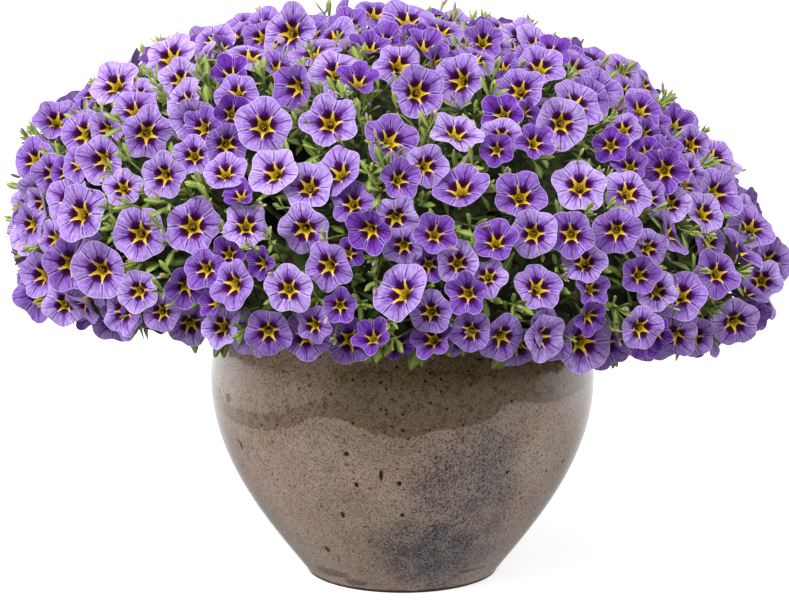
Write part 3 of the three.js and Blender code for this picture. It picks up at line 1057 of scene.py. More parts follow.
# One corolla of radius 1 facing up: throat, limb, sharp rim, back and tube, with its pattern's map.
def corollaTemplate():
    profile = corolla["profile"]
    bm = turned(profile, corolla["segments"])
    lobe = addLayers(bm, "Lobe")
    crease = bm.edges.layers.float.new("crease_edge")
    station = {}
    for vert in bm.verts:
        spot = (math.hypot(vert.co.x, vert.co.y), vert.co.z)
        station[vert] = min(range(len(profile)), key=lambda i: math.dist(spot, profile[i]))
    for edge in bm.edges:
        if all(station[vert] == corolla["rim"] for vert in edge.verts):
            edge[crease] = 1.0
            edge.smooth = False
    for face in bm.faces:
        middle = face.calc_center_median()
        turn = math.atan2(middle.y, middle.x)
        face.material_index = 0 if max(station[vert] for vert in face.verts) <= corolla["rim"] else 1
        for loop in face.loops:
            spot = loop.vert.co
            angle = angleNear(spot, turn) if math.hypot(spot.x, spot.y) > 1e-4 else turn
            lobes = (angle / fullTurn + 1) * corolla["lobes"]
            loop[lobe].uv = (lobes, corolla["shares"][station[loop.vert]])
    return asMesh("corollaTemplate", bm)


# Shapes one corolla's corners: lobes, pleats, cupping, and each lobe's own tilt and length.
def shapeCorolla(corners, bloom, draw):
    flat = bloom["flat"]
    for vert in corners:
        radius = math.hypot(vert.co.x, vert.co.y)
        if radius < 1e-4:
            continue
        angle = math.atan2(vert.co.y, vert.co.x)
        lobes = angle * corolla["lobes"] / fullTurn
        lobe = round(lobes) % corolla["lobes"]
        fromMiddle = min(1, 2 * abs(lobes - round(lobes)))
        share = max(0.0, radius - corolla["throat"]) / (1 - corolla["throat"])
        window = 1 - fromMiddle ** 2
        outline = corolla["outline"] - bloom["notch"] * fromMiddle ** 4 + bloom["lengths"][lobe] * window
        outline += corolla["wave"] * math.sin(2 * angle + bloom["phase"]) + corolla["fray"] * (draw() - 0.5)
        radius *= 1 + (outline - 1) * share
        height = vert.co.z
        height += bloom["cup"] * share ** 1.6 + bloom["tilts"][lobe] * window * share ** 1.5
        height += bloom["twist"] * math.sin(fullTurn * (lobes - round(lobes))) * share
        height += (bloom["crumple"] * (draw() - 0.5) - corolla["pleat"] * math.cos(10 * angle)) * share
        radius *= 1 - bloom["closed"] * share * corolla["shutIn"]
        height += bloom["closed"] * share * corolla["shutUp"]
        vert.co = Vector((radius * math.cos(angle) * flat, radius * math.sin(angle) / flat, height))


# The bake map: a big round cell for each face and a small one for each back.
def cellOf(index, count, front):
    columns = 1
    while math.ceil(count / columns) / columns + math.ceil(count / (2 * columns)) * 0.5 / columns > 1:
        columns += 1
    side = 1 / columns if front else 0.5 / columns
    row, column = divmod(index, columns if front else 2 * columns)
    up = (row + 0.5) * side
    return (column + 0.5) * side, 1 - up if front else up, 0.48 * side


def mapCorolla(bm, faces, index, count):
    lobe = bm.loops.layers.uv["Lobe"]
    bake = bakeOf(bm)
    places = [cellOf(index, count, True), cellOf(index, count, False)]
    for face in faces:
        x, y, reach = places[face.material_index]
        for loop in face.loops:
            lobes, share = loop[lobe].uv
            angle = lobes * fullTurn / corolla["lobes"]
            loop[bake].uv = (x + reach * share * math.cos(angle), y + reach * share * math.sin(angle))


def bloomBasis(bloom):
    facing = Vector(bloom["facing"])
    level = sideOf(facing)
    turn = Matrix.Rotation(bloom["roll"], 4, "Z")
    size = Matrix.Scale(bloom["radius"] * bloom["scale"], 4)
    return basis(bloom["place"], level, facing.cross(level), facing) @ turn @ size


# How each corolla differs: size, tone, cupping, tilted and uneven lobes, crumpling and age.
def varyBloom(bloom, draw):
    kind = corolla["young"] if draw() < corolla["youngShare"] else corolla["grown"]
    for trait in ("scale", "tone", "cup"):
        bloom[trait] = between(kind[trait], draw())
    bloom["scale"] *= corolla["scale"]
    bloom["tilts"] = [corolla["tilt"] * (draw() - 0.5) for _ in range(corolla["lobes"])]
    bloom["lengths"] = [corolla["uneven"] * (draw() - 0.5) for _ in range(corolla["lobes"])]
    bloom["twist"] = corolla["twist"] * (draw() - 0.5)
    bloom["notch"] = between(kind["notch"], draw())
    bloom["phase"] = fullTurn * draw()
    bloom["flat"] = 1 + corolla["oval"] * (draw() - 0.5)
    bloom.update(crumple=corolla["crumple"], age=0.0, closed=0.0)


wilted = {
    "every": 2,  # one for so many sprays
    "radius": 8.5,
    "depth": 9,
    "closed": 0.72,
    "crumple": 0.55,
    "age": (0.6, 1.0),
}


# A spent corolla, shut and crumpled, standing in a gap between the others.
def wiltedBloom(gap, core, draw):
    place = sunk(gap, wilted["depth"])
    bloom = {"place": place, "radius": wilted["radius"], "roll": 6 * draw(), "root": rootOf(core, place)}
    away = unit(place - bloom["root"])
    bloom["facing"] = unit(away + np.array([draw() - 0.5, draw() - 0.5, -0.2]))
    varyBloom(bloom, draw)
    bloom.update(age=between(wilted["age"], draw()), closed=wilted["closed"], crumple=wilted["crumple"])
    return bloom


anthers = {
    "count": 3,
    "turn": 2.2,
    "ring": 0.05,
    "height": -0.30,
    "step": 0.04,
    "radius": 0.045,
}


# Pale anthers stand close together in the throat.
def addAnthers(bm, frameOf, cell):
    x, y, reach = cell
    for part in range(anthers["count"]):
        angle = anthers["turn"] * part
        centre = Vector((math.cos(angle), math.sin(angle), 0)) * anthers["ring"]
        centre += Vector((0, 0, anthers["height"] + anthers["step"] * part))
        corners, faces = addCopy(bm, "anther")
        bake = bakeOf(bm)
        for vert in corners:
            vert.co = frameOf @ (centre + vert.co * anthers["radius"])
        for face in faces:
            face.material_index = 2
            for loop in face.loops:
                spot = loop.vert.co - faces[0].verts[0].co
                loop[bake].uv = (x + reach * (0.94 + 8 * spot.x), y + reach * (0.94 + 8 * spot.z))


def antherTemplate():
    bm = bmesh.new()
    bmesh.ops.create_cube(bm, size=1.6)
    addLayers(bm, "Lobe")
    return asMesh("antherTemplate", bm)


bud = {
    "every": 2,  # one for so many tufts
    "length": (5, 10),
    "radius": 1.5,
    "outline": [(0, 0.45), (0.34, 0.8), (0.67, 1.0), (1, 0.3)],
    "tone": 0.6,
}


# A closed bud: a furled spindle, green at its foot.
def budTemplate():
    bm = prism(5, 2)
    lobe = addLayers(bm, "Lobe")
    for face in bm.faces:
        face.material_index = 1
        for loop in face.loops:
            spot = loop.vert.co
            loop[lobe].uv = (math.atan2(spot.y, spot.x), 0.1 + 0.7 * spot.z)
    for vert in bm.verts:
        width = along(bud["outline"], vert.co.z)
        vert.co.x *= width
        vert.co.y *= width
    return asMesh("budTemplate", bm)


def addBud(bm, tip, outward, cell, draw):
    corners, faces = addCopy(bm, "bud")
    bake = bakeOf(bm)
    tone = bm.verts.layers.float["tone"]
    age = bm.verts.layers.float["age"]
    way = Vector(unit(outward + swayed(draw)))
    level = sideOf(way)
    length = between(bud["length"], draw())
    frameOf = basis(tip, level, way.cross(level), way)
    cream = draw()
    x, y, reach = cell
    for face in faces:
        for loop in face.loops:
            across, up = 0.90 + 0.03 * loop.vert.co.x, 0.9 + 0.06 * loop.vert.co.z
            loop[bake].uv = (x + reach * across, y - reach * up)
    for vert in corners:
        vert.co = frameOf @ Vector((vert.co.x * bud["radius"], vert.co.y * bud["radius"], vert.co.z * length))
        vert[tone] = bud["tone"]
        vert[age] = cream


def buildBlooms(core, name, node, draw):
    bm = bmesh.new()
    heads = core["blooms"] + core["spent"]
    for index, bloom in enumerate(heads):
        corners, faces = addCopy(bm, "corolla")
        shapeCorolla(corners, bloom, draw)
        mapCorolla(bm, faces, index, len(heads))
        frameOf = bloomBasis(bloom)
        tone = bm.verts.layers.float["tone"]
        age = bm.verts.layers.float["age"]
        for vert in corners:
            vert.co = frameOf @ vert.co
            vert[tone] = bloom["tone"]
            vert[age] = bloom["age"]
        if not bloom["closed"]:
            addAnthers(bm, frameOf, cellOf(index, len(heads), True))
    for gap in core["tufts"][::bud["every"]]:
        outward = unit(gap["place"] - rootOf(core, gap["place"]))
        addBud(bm, gap["place"] + outward * 2, outward, cellOf(0, len(heads), True), draw)
    return finishPiece(name, bm, ["face", "back", "pollen"], [node], 1)


# Extra corollas fill the gaps a little lower down, tucked under their neighbours.

filler = {
    "count": 218,
    "radius": (10.0, 15.0),
    "depth": (7, 21),
    "apart": 16,
    "tries": 26,
    "least": 0.4,  # share of the widest radius
    "away": 0.8,  # how far it faces away from its root, to the front and anywhere
    "front": 0.4,
    "sway": 1.1,
    "leastAway": 0.3,
}
crossing = {
    "reach": 36,  # corollas further apart than this can't meet
    "points": 24,
    "within": 0.97,
}


# Whether the rim of one corolla passes through the face of another.
def cutsThrough(first, second):
    offset = second["place"] - first["place"]
    reach = first["radius"] * first["scale"]
    rimReach = second["radius"] * second["scale"]
    if np.linalg.norm(offset) > reach + rimReach:
        return False
    level = unit(np.array([-second["facing"][1], second["facing"][0], 0]))
    over = np.cross(second["facing"], level)
    angles = np.linspace(0, fullTurn, crossing["points"], endpoint=False)[:, None]
    rim = offset + rimReach * (np.cos(angles) * level + np.sin(angles) * over)
    height = rim @ first["facing"]
    away = np.linalg.norm(rim - height[:, None] * first["facing"], axis=1) / reach
    shares, heights = zip(*corolla["profile"][:corolla["rim"] + 1])
    above = (height / reach > np.interp(away, shares, heights))[away < crossing["within"]]
    return above.any() and not above.all()


def isCrossed(bloom):
    distances = [(np.linalg.norm(other["place"] - bloom["place"]), other) for other in blooms]
    near = [other for distance, other in distances if 0 < distance < crossing["reach"]]
    return any(cutsThrough(other, bloom) or cutsThrough(bloom, other) for other in near)


# At the front, a corolla is turned so far that it doesn't show only its back.
def turnedToFront(facing, place):
    if place[1] > 0:
        return facing
    lacking = max(0, corolla["leastFront"] - np.dot(facing, frontward))
    return unit(facing + lacking * frontward)


# Each corolla leans a little its own way, where that doesn't push it through another.
def leanBloom(bloom, draw):
    straight = turnedToFront(bloom["facing"], bloom["place"])
    for _ in range(4):
        bloom["facing"] = unit(straight + corolla["lean"] * swayed(draw))
        if not isCrossed(bloom):
            return
    bloom["facing"] = straight


# Each try lies deeper and is smaller than the one before.
def fillerBloom(gap, draw):
    for attempt in range(filler["tries"]):
        share = attempt / filler["tries"]
        depth = between(filler["depth"], share)
        place = sunk(gap, depth)
        core = coreFor({"place": place, "depth": depth}, cores, shoots)
        radius = between(filler["radius"], (1 - share) * between((filler["least"], 1), draw()))
        sway = swayed(draw) * filler["sway"]
        bloom = {"place": place, "radius": radius, "roll": fullTurn * draw(), "root": rootOf(core, place)}
        varyBloom(bloom, draw)
        away = unit(place - bloom["root"])
        facing = unit(away * filler["away"] + frontward * filler["front"] + sway)
        bloom["facing"] = turnedToFront(facing, place)
        if np.dot(bloom["facing"], away) > filler["leastAway"] and not isCrossed(bloom):
            return bloom, core
    return None, None


# The widest gaps are filled first, each filled one at some way from the rest.
def fillGaps(gaps, draw):
    filled = []
    for gap in sorted(gaps, key=lambda gap: -gap["clear"]):
        apart = all(np.linalg.norm(gap["place"] - other["place"]) > filler["apart"] for other in filled)
        if apart and len(filled) < filler["count"]:
            bloom, core = fillerBloom(gap, draw)
            if bloom:
                core["blooms"].append(bloom)
                blooms.append(bloom)
                filled.append(gap)
    return [gap for gap in gaps if not any(gap is other for other in filled)]


# Leaves

leaf = {
    "length": (13, 22),
    "shortest": 5,
    "width": 0.30,  # share of its length
    "outline": [(0.0, 0.18), (0.2, 0.36), (0.4, 0.74), (0.6, 1.0), (0.8, 0.94), (1.0, 0.22)],
    "thickness": 0.5,
    "fold": 0.24,
    "tones": 16,
    "behind": 1.2,  # from a corolla's face, and a share of its radius more
    "behindShare": 0.1,
    "before": 24,
    "covered": 0.86,  # share of a corolla's radius that no leaf lies over
}


# A prism of four sides becomes a folded blade: two edges, a rib above and one below.
def leafTemplate():
    bm = prism(4, 3)
    blades = addLayers(bm, "Leaf")
    for face in bm.faces:
        below = 2 if face.calc_center_median().y < 0 else 0
        for loop in face.loops:
            spot = loop.vert.co
            loop[blades].uv = (below + 0.5 + 0.5 * spot.x, spot.z)
    return asMesh("leafTemplate", bm)


# How far a place, or each of several, lies before every corolla.
def heightsOver(offset):
    return np.einsum("ij,ij->i", offset, discs["facing"])


# The share of a leaf's way that stays behind every corolla it would otherwise push through.
def openShare(base, tip):
    fromBase = base - discs["place"]
    chord = tip - base
    start = heightsOver(fromBase)
    rise = discs["facing"] @ chord
    margin = leaf["behind"] + leaf["behindShare"] * discs["radius"]
    crosses = (start + margin) * (start + rise + margin) < 0
    share = np.where(crosses, (-margin - start) / np.where(crosses, rise, 1), 1)
    spot = fromBase + chord * share[:, None]
    spot -= discs["facing"] * heightsOver(spot)[:, None]
    blocked = crosses & (np.linalg.norm(spot, axis=1) < 1.02 * discs["radius"])
    inside = (np.abs(start) < margin) & (np.linalg.norm(fromBase, axis=1) < discs["radius"])
    return 0 if inside.any() else share[blocked].min() if blocked.any() else 1


# Whether a place lies in front of a corolla's face.
def coversFace(place):
    offset = np.array(place) - discs["place"]
    above = heightsOver(offset)
    aside = np.linalg.norm(offset - discs["facing"] * above[:, None], axis=1)
    return ((above > 0) & (above < leaf["before"]) & (aside < leaf["covered"] * discs["radius"])).any()


# One leaf from its base along its axis, its upper side towards the light.
def addLeaf(bm, base, axis, light, length, tone, bend, wide=1.0):
    axis = Vector(axis).normalized()
    side = Vector(light).cross(axis)
    side = side.normalized() if side.length > 1e-3 else sideOf(axis)
    over = axis.cross(side)
    bend = bend or 0.01
    chord = axis * (length * math.sin(bend) / bend) - over * (length * (1 - math.cos(bend)) / bend)
    length *= openShare(np.array(base), np.array(Vector(base) + chord))
    blocked = any(coversFace(Vector(base) + axis * (length * share)) for share in (0.5, 1.0))
    if length < leaf["shortest"] or blocked:
        return
    corners, faces = addCopy(bm, "leaf")
    blades = bm.loops.layers.uv["Leaf"]
    bake = bakeOf(bm)
    toneOf = bm.verts.layers.float["tone"]
    step = min(leaf["tones"] - 1, int(tone * leaf["tones"]))
    frameOf = basis(base, side, over, axis)
    for vert in corners:
        half = wide * leaf["width"] * length / 2 * along(leaf["outline"], vert.co.z)
        turn = bend * vert.co.z
        lift = leaf["fold"] * half if abs(vert.co.x) > 0.5 else leaf["thickness"] / 2 * vert.co.y
        back = -length * (1 - math.cos(turn)) / bend
        up = length * math.sin(turn) / bend
        bent = Vector((vert.co.x * half, back + lift * math.cos(turn), up + lift * math.sin(turn)))
        vert.co = frameOf @ bent
        vert[toneOf] = (step + 0.5) / leaf["tones"]
    row, column = divmod(step, 4)
    for face in faces:
        for loop in face.loops:
            across, up = loop[blades].uv
            below = 1 if across > 1.5 else 0
            x = (column + 0.5 * below + 0.02 + 0.46 * (across - 2 * below)) / 4
            loop[bake].uv = (x, 0.5 + (row + 0.03 + 0.94 * up) / 8)


stems = {
    "rooted": 0.14,  # share of its way in the soil
    "spray": (2.4, 2.0, 1.7),  # radii from the foot up
    "shoot": (2.4, 1.8, 1.4),
    "tip": (1.4, 0.8),
    "pedicel": (0.75, 0.75),
    "twig": (0.9, 0.6),
    "sepal": (0.5, 1.0, 0.25),
    "sepals": 5,
    "tubeFoot": 1.05,  # this many radii behind the bloom
    "arch": 0.4,
    "cells": {  # corner, width and height in the bake map
        "stem": (0.5, 0.02, 0.1, 0.46),
        "pedicel": (0.62, 0.02, 0.05, 0.46),
        "twig": (0.68, 0.02, 0.05, 0.46),
        "sepal": (0.74, 0.02, 0.05, 0.46),
    },
}


# A stalk bent along a curve, its radius going from the first to the last.
def addStalk(bm, template, cell, way, radii, curve=curveAt):
    corners, faces = addCopy(bm, template)
    bake = bakeOf(bm)
    turn = {vert: math.atan2(vert.co.y, vert.co.x) / fullTurn + 0.5 for vert in corners}
    share = {vert: vert.co.z for vert in corners}
    side = (Vector(way[1]) - Vector(way[0])).cross(Vector(way[-1]) - Vector(way[0]))
    side = side.normalized() if side.length > 1e-3 else sideOf(Vector(way[-1]) - Vector(way[0]))
    rings = {}
    for vert in corners:
        key = round(vert.co.z, 3)
        if key not in rings:
            tangent = (curve(way, min(1, key + 0.01)) - curve(way, max(0, key - 0.01))).normalized()
            rings[key] = (curve(way, key), tangent.cross(side))
        middle, over = rings[key]
        radius = along([(i / (len(radii) - 1), value) for i, value in enumerate(radii)], key)
        vert.co = middle + (side * vert.co.x + over * vert.co.y) * radius
    x, y, wide, high = stems["cells"][cell]
    for face in faces:
        face.material_index = 1
        for loop in face.loops:
            loop[bake].uv = (x + wide * turn[loop.vert], y + high * share[loop.vert])


def addTwig(bm, core, place):
    root = Vector(rootOf(core, place))
    tip = Vector(place)
    addStalk(bm, "twig", "twig", (root, root.lerp(tip, 0.5), tip), stems["twig"])
    return tip, (tip - root).normalized()


def stalkTemplate(sides, cuts):
    bm = prism(sides, cuts)
    addLayers(bm, "Leaf")
    return asMesh("stalkTemplate", bm)


# Straight out of its hole in the soil, then over to the neck in a curve.
def stemAt(way, share):
    rooted = stems["rooted"]
    if share < rooted:
        return Vector(way[0]).lerp(Vector(way[1]), share / rooted)
    return curveAt(way[1:], (share - rooted) / (1 - rooted))


def ballTemplate():
    bm = bmesh.new()
    bmesh.ops.create_uvsphere(bm, u_segments=16, v_segments=8, radius=1)
    addLayers(bm, "Leaf")
    return asMesh("ballTemplate", bm)


# A ball of packed leaves in the thicket's painted shade, mapped round and down.
def addBall(bm):
    corners, faces = addCopy(bm, "ball")
    bake = bakeOf(bm)
    for face in faces:
        face.material_index = 2
        middle = math.atan2(face.calc_center_median().y, face.calc_center_median().x)
        for loop in face.loops:
            spot = loop.vert.co
            angle = angleNear(spot, middle) if math.hypot(spot.x, spot.y) > 1e-4 else middle
            down = math.acos(spot.z) / math.pi
            loop[bake].uv = (0.01 + 0.46 * (0.5 + angle / (2.2 * math.pi)), 0.01 + 0.46 * down)
    return corners


# A place between two corners of a rim, such as 2.3 of them round.
def rimAt(rim, sector):
    before = int(sector) % len(rim)
    return Vector(rim[before]).lerp(Vector(rim[(before + 1) % len(rim)]), sector - int(sector))


# The spray's packed inside, between its head, its rim and its neck, in the thicket's painted shade.
def addThicket(bm, core, draw):
    head = Vector(core["head"])
    neck = Vector(core["neck"])
    rim = [Vector(edge) + (Vector(edge) - head).normalized() * thicket["spill"] for edge in core["rim"]]
    for vert in addBall(bm):
        down = math.acos(max(-1, min(1, vert.co.z))) / (math.pi / 2)
        edge = rimAt(rim, math.atan2(vert.co.y, vert.co.x) / fullTurn % 1 * len(rim))
        end = head if down <= 1 else neck
        jitter = Vector(swayed(draw)) * 3
        vert.co = end.lerp(edge, 1 - abs(1 - down)) + (jitter if down > 0.05 else Vector())


tuft = {
    "tries": 2600,
    "leaves": 8,
    "length": (6.5, 13.5),
    "size": (0.9, 1.45),
    "step": 0.8,  # down the twig from leaf to leaf
    "depth": 15,
    "proud": 0.50,  # share of them that reach out between the flowers
    "proudDepth": (-2, 6),
    "apart": 10.8,
    "clear": (-2.5, -1.5),  # room that a low one and a proud one need
    "bright": (0.45, 0.95),
    "splay": (0.12, 0.95),
    "turn": 2.4,
    "wide": 1.05,
}


# A twig's tip: leaves in a spiral, the outer ones lower and more open.
def addTuft(bm, tip, outward, draw, leaves, bright, size):
    level = sideOf(outward)
    rising = outward.cross(level)
    for number in range(leaves):
        angle = tuft["turn"] * number + 0.5 * draw()
        share = number / max(1, leaves - 1)
        splay = between(tuft["splay"], share)
        way = spoke(level, rising, angle)
        axis = outward * math.cos(splay) + way * math.sin(splay)
        light = outward * math.sin(splay) - way * math.cos(splay) + Vector((0, -0.1, 0.2))
        length = size * between(tuft["length"], share ** 0.7) * (0.75 + 0.25 * draw())
        base = tip - outward * (1 + tuft["step"] * size * number)
        tone = min(0.99, bright * (1 - 0.4 * share) + 0.12 * draw())
        addLeaf(bm, base, axis, light, length, tone, -0.25 + 0.9 * share * draw(), tuft["wide"])


foliage = {
    "inner": 38,
    # Inner leaves run darker, as painted shade inside the spray.
    "innerTone": (0.15, 0.75),
    "innerBend": (-0.2, 0.7),
    "edge": 22,
    "edgeLength": (13, 21),
    # Edge leaves under the blooms run darker still, as painted shade.
    "edgeTone": (0.1, 0.5),
    "edgeBend": (0, 0.6),
}


# A leaf inside the spray; its darker tone is painted shade.
def addInnerLeaf(bm, core, draw):
    outward = Vector(core["outward"])
    head = Vector(core["head"])
    edge = rimAt(core["rim"], draw() * len(core["rim"]))
    base = head.lerp(edge, math.sqrt(draw()) * 0.98)
    sway = Vector(swayed(draw))
    axis = outward + (edge - head).normalized() * (0.5 * draw()) + sway * 1.5
    length = between(leaf["length"], draw())
    tone, bend = [between(foliage[name], draw()) for name in ("innerTone", "innerBend")]
    addLeaf(bm, base, axis, outward + Vector((0, -0.2, 0.5)), length, tone, bend)


# A leaf at the spray's rim under the blooms; its darker tone is painted shade.
def addEdgeLeaf(bm, core, sector, draw):
    outward = Vector(core["outward"])
    edge = rimAt(core["rim"], sector)
    axis = (edge - Vector(core["head"])).normalized() * 0.8 + outward * (0.9 * draw())
    axis += Vector((draw() - 0.5, draw() - 0.5, draw() - 0.7)) * 0.8
    tone, length, bend = [between(foliage[name], draw()) for name in ("edgeTone", "edgeLength", "edgeBend")]
    addLeaf(bm, edge, axis, outward + Vector((0, 0, 0.3)), length, tone, bend)


# A bloom's stalk and the five narrow sepals round the foot of its tube.
def addPedicel(bm, core, bloom, draw):
    radius = bloom["radius"] * bloom["scale"]
    facing = Vector(bloom["facing"])
    root = Vector(bloom["root"])
    base = Vector(bloom["place"]) - facing * radius * stems["tubeFoot"]
    reach = (base - root).length * stems["arch"]
    way = (root, root + Vector(core["outward"]) * reach, base - facing * reach, base)
    addStalk(bm, "twig", "pedicel", way, stems["pedicel"])
    level = sideOf(facing)
    rising = facing.cross(level)
    for sepal in range(stems["sepals"]):
        angle = fullTurn * sepal / stems["sepals"] + 0.4 * draw()
        axis = facing + spoke(level, rising, angle) * 0.35
        way = (base - facing, base + axis * radius * 0.25, base + axis * radius * 0.55)
        addStalk(bm, "sepal", "sepal", way, stems["sepal"])


def buildFoliage(core, name, node, draw):
    bm = bmesh.new()
    addStalk(bm, "stem", "stem", core["way"], stems["spray"], stemAt)
    addThicket(bm, core, draw)
    for _ in range(foliage["inner"]):
        addInnerLeaf(bm, core, draw)
    for number in range(foliage["edge"]):
        addEdgeLeaf(bm, core, number * len(core["rim"]) / foliage["edge"], draw)
    for bloom in core["blooms"] + core["spent"]:
        addPedicel(bm, core, bloom, draw)
    for gap in core["tufts"]:
        tip, out = addTwig(bm, core, gap["place"])
        size = between(tuft["size"], draw())
        way = (out + Vector(core["outward"]) * 0.4).normalized()
        addTuft(bm, tip, way, draw, tuft["leaves"], gap["bright"], size)
    for place in core["hem"]:
        addHem(bm, core, place, draw)
    return finishPiece(name, bm, ["blade", "stalk", "thicket"], [node])


# Crown directions are tried one by one, and those far enough from every bloom take leaves.
def findGaps(draw, tries):
    places = np.array([bloom["place"] for bloom in blooms])
    radii = np.array([bloom["radius"] * bloom["scale"] for bloom in blooms])
    gaps = []
    for index in range(tries):
        direction = spiralDirection(index, tries, draw, crown["skirtEnd"])
        proud = draw() < tuft["proud"]
        depth = between(tuft["proudDepth"], draw()) if proud else tuft["depth"]
        place = placeOn(direction, depth)
        clear = np.min(np.linalg.norm(places - placeOn(direction, 7), axis=1) - 0.9 * radii)
        near = any(np.linalg.norm(place - gap["place"]) < tuft["apart"] for gap in gaps)
        if clear > tuft["clear"][proud] and not near:
            bright = between(tuft["bright"], draw())
            gaps.append({"place": place, "depth": depth, "clear": clear, "bright": bright})
    return gaps


hem = {
    "count": 64,
    "low": -0.52,
    "depth": (12, 22),
    "leaves": 2,  # and up to two more
    "length": (14, 23),
    "tone": (0.25, 0.65),
    "bend": (0, 0.7),
    "wide": 1.2,  # times as wide as a usual leaf
}


# Broad older leaves hang out under the flowers all round.
def hangHem(draw):
    for number in range(hem["count"]):
        angle = fullTurn * (number + draw()) / hem["count"]
        depth = between(hem["depth"], draw())
        place = placeOn(polar(math.sqrt(1 - hem["low"] ** 2), angle, hem["low"]), depth)
        coreFor({"place": place, "depth": depth}, cores, shoots)["hem"].append(place)


def addHem(bm, core, place, draw):
    tip, _ = addTwig(bm, core, place)
    out = Vector((tip.x, tip.y, 0)).normalized()
    for _ in range(hem["leaves"] + int(3 * draw())):
        sway = Vector(swayed(draw))
        axis = out * (0.2 + 0.8 * draw()) + Vector((0, 0, -0.8)) + sway * 1.1
        length, tone, bend = [between(hem[name], draw()) for name in ("length", "tone", "bend")]
        addLeaf(bm, tip, axis, out + Vector((0, 0, 0.5)), length, tone, bend, hem["wide"])


tips = {
    "size": 1.55,
    # The deeper tuft is darker, as painted shade inside the crown.
    "tufts": [(4, 10, 0.9), (16, 9, 0.55)],  # depth, leaves and brightness of each
}


def buildShoot(shoot, name, node, draw):
    bm = bmesh.new()
    direction = directionOf(shoot["place"], shoot["depth"])
    outward = (Vector(shoot["place"]) - Vector(placeOn(direction, growth["coreRim"]))).normalized()
    way = stemWay(shoot)
    budded = Vector(placeOn(direction, tips["tufts"][0][0]))
    addStalk(bm, "stem", "stem", way, stems["shoot"], stemAt)
    addStalk(bm, "twig", "pedicel", (way[-1], budded), stems["tip"])
    for depth, leaves, bright in tips["tufts"]:
        addTuft(bm, Vector(placeOn(direction, depth)), outward, draw, leaves, bright, tips["size"])
    # A ball in the thicket's painted shade fills the shoot's inside.
    middle = Vector(placeOn(direction, thicket["clumpDepth"]))
    for vert in addBall(bm):
        vert.co = middle + vert.co * thicket["clump"] * (0.8 + 0.4 * draw())
    return finishPiece(name, bm, ["blade", "stalk", "thicket"], [node])


# Pot and soil

pot = {
    "steps": 128,
    "belly": [(64, 2), (92, 38), (126.5, 80), (125.5, 132)],
    "shoulder": [(125.5, 132), (125.5, 149), (118.5, 160), (113.5, 168)],
    "lip": (107, 170, 6.5),  # radius, height and roll
    "innerShoulder": [(108.5, 158), (111.5, 152), (116.5, 145), (116.5, 132)],
    "innerBelly": [(116.5, 132), (116.5, 82), (85, 42), (55, 12)],
    "cuts": (16, 6, 9, 4, 10),  # in each of the five above
    "top": 168,
    "foot": 63,
    "base": 12,
    "drains": (3, 33, 5),  # count, circle and radius
    "drainSides": 24,
    "sharp": 0.6,  # radians between faces
}


def profilePoints(corners, count):
    corners = [(radius, 0, height) for radius, height in corners]
    points = [curveAt(corners, i / count) for i in range(count + 1)]
    return [(point.x, point.z) for point in points]


def lipPoints(count):
    radius, height, roll = pot["lip"]
    angles = [math.radians(30 + 150 * i / count) for i in range(count + 1)]
    return [(radius + roll * math.cos(angle), height + roll * math.sin(angle)) for angle in angles]


# The thrown wall is turned, and its base filled round three drain holes.
def buildPot():
    belly, shoulder, lip, innerShoulder, innerBelly = pot["cuts"]
    wall = [(pot["foot"], 0)] + profilePoints(pot["belly"], belly)
    wall += profilePoints(pot["shoulder"], shoulder)[1:-1] + lipPoints(lip)
    wall += profilePoints(pot["innerShoulder"], innerShoulder)
    wall += profilePoints(pot["innerBelly"], innerBelly)[1:]
    bm = turned(wall, pot["steps"])
    count, circle, radius = pot["drains"]
    rims = {0: [], pot["base"]: []}
    for height, edges in rims.items():
        for drain in range(count):
            place = Matrix.Translation(Vector(polar(circle, fullTurn * (drain + 0.25) / count, height)))
            made = bmesh.ops.create_circle(bm, cap_ends=False, segments=pot["drainSides"], radius=radius,
                                           matrix=place)
            edges.append({edge for vert in made["verts"] for edge in vert.link_edges})
    for lower, upper in zip(rims[0], rims[pot["base"]]):
        bmesh.ops.bridge_loops(bm, edges=list(lower | upper))
    for height in rims:
        loose = [edge for edge in bm.edges if edge.is_boundary]
        level = [edge for edge in loose if all(abs(vert.co.z - height) < 0.01 for vert in edge.verts)]
        bmesh.ops.triangle_fill(bm, edges=level, use_beauty=True)
    bmesh.ops.remove_doubles(bm, verts=bm.verts, dist=1e-4)
    bmesh.ops.recalc_face_normals(bm, faces=bm.faces)
    for edge in bm.edges:
        edge.smooth = edge.calc_face_angle(0) < pot["sharp"]
    mapPot(bm)
    return finishPiece("pot_glazed", bm, ["glaze"], ["pot"])


# The bake map: the wall's front and back halves one above the other, then the inside and the base.
def mapPot(bm):
    bake = bm.loops.layers.uv.new("OFBake")
    top = pot["top"]
    for face in bm.faces:
        middle = face.calc_center_median()
        turn = math.atan2(middle.y, middle.x)
        outside = face.normal.dot(Vector((middle.x, middle.y, 0)).normalized()) > 0.02 or middle.z > top
        flat = abs(face.normal.z) > 0.95 and middle.z < pot["base"] + 1
        for loop in face.loops:
            spot = loop.vert.co
            angle = angleNear(spot, turn)
            if flat:
                corner = 0.80 if middle.z > pot["base"] / 2 else 0.93
                loop[bake].uv = (corner + spot.x / 1000, 0.07 + spot.y / 1000)
            elif outside:
                share = (angle - math.pi * math.floor(turn / math.pi)) / math.pi
                low = 0.58 if turn < 0 else 0.16
                rise = spot.z if middle.z < top else top + (125 - math.hypot(spot.x, spot.y))
                loop[bake].uv = (0.01 + 0.98 * share, low + 0.40 * rise / 200)
            else:
                loop[bake].uv = (0.01 + 0.7 * (angle / fullTurn + 0.5), 0.01 + 0.12 * spot.z / 180)


soil = {
    "steps": 72,
    "rings": 26,
    "gap": 0.35,
    "rough": 1.6,
    "crumbs": 170,
    "perlite": 60,
    "spread": 100,
}


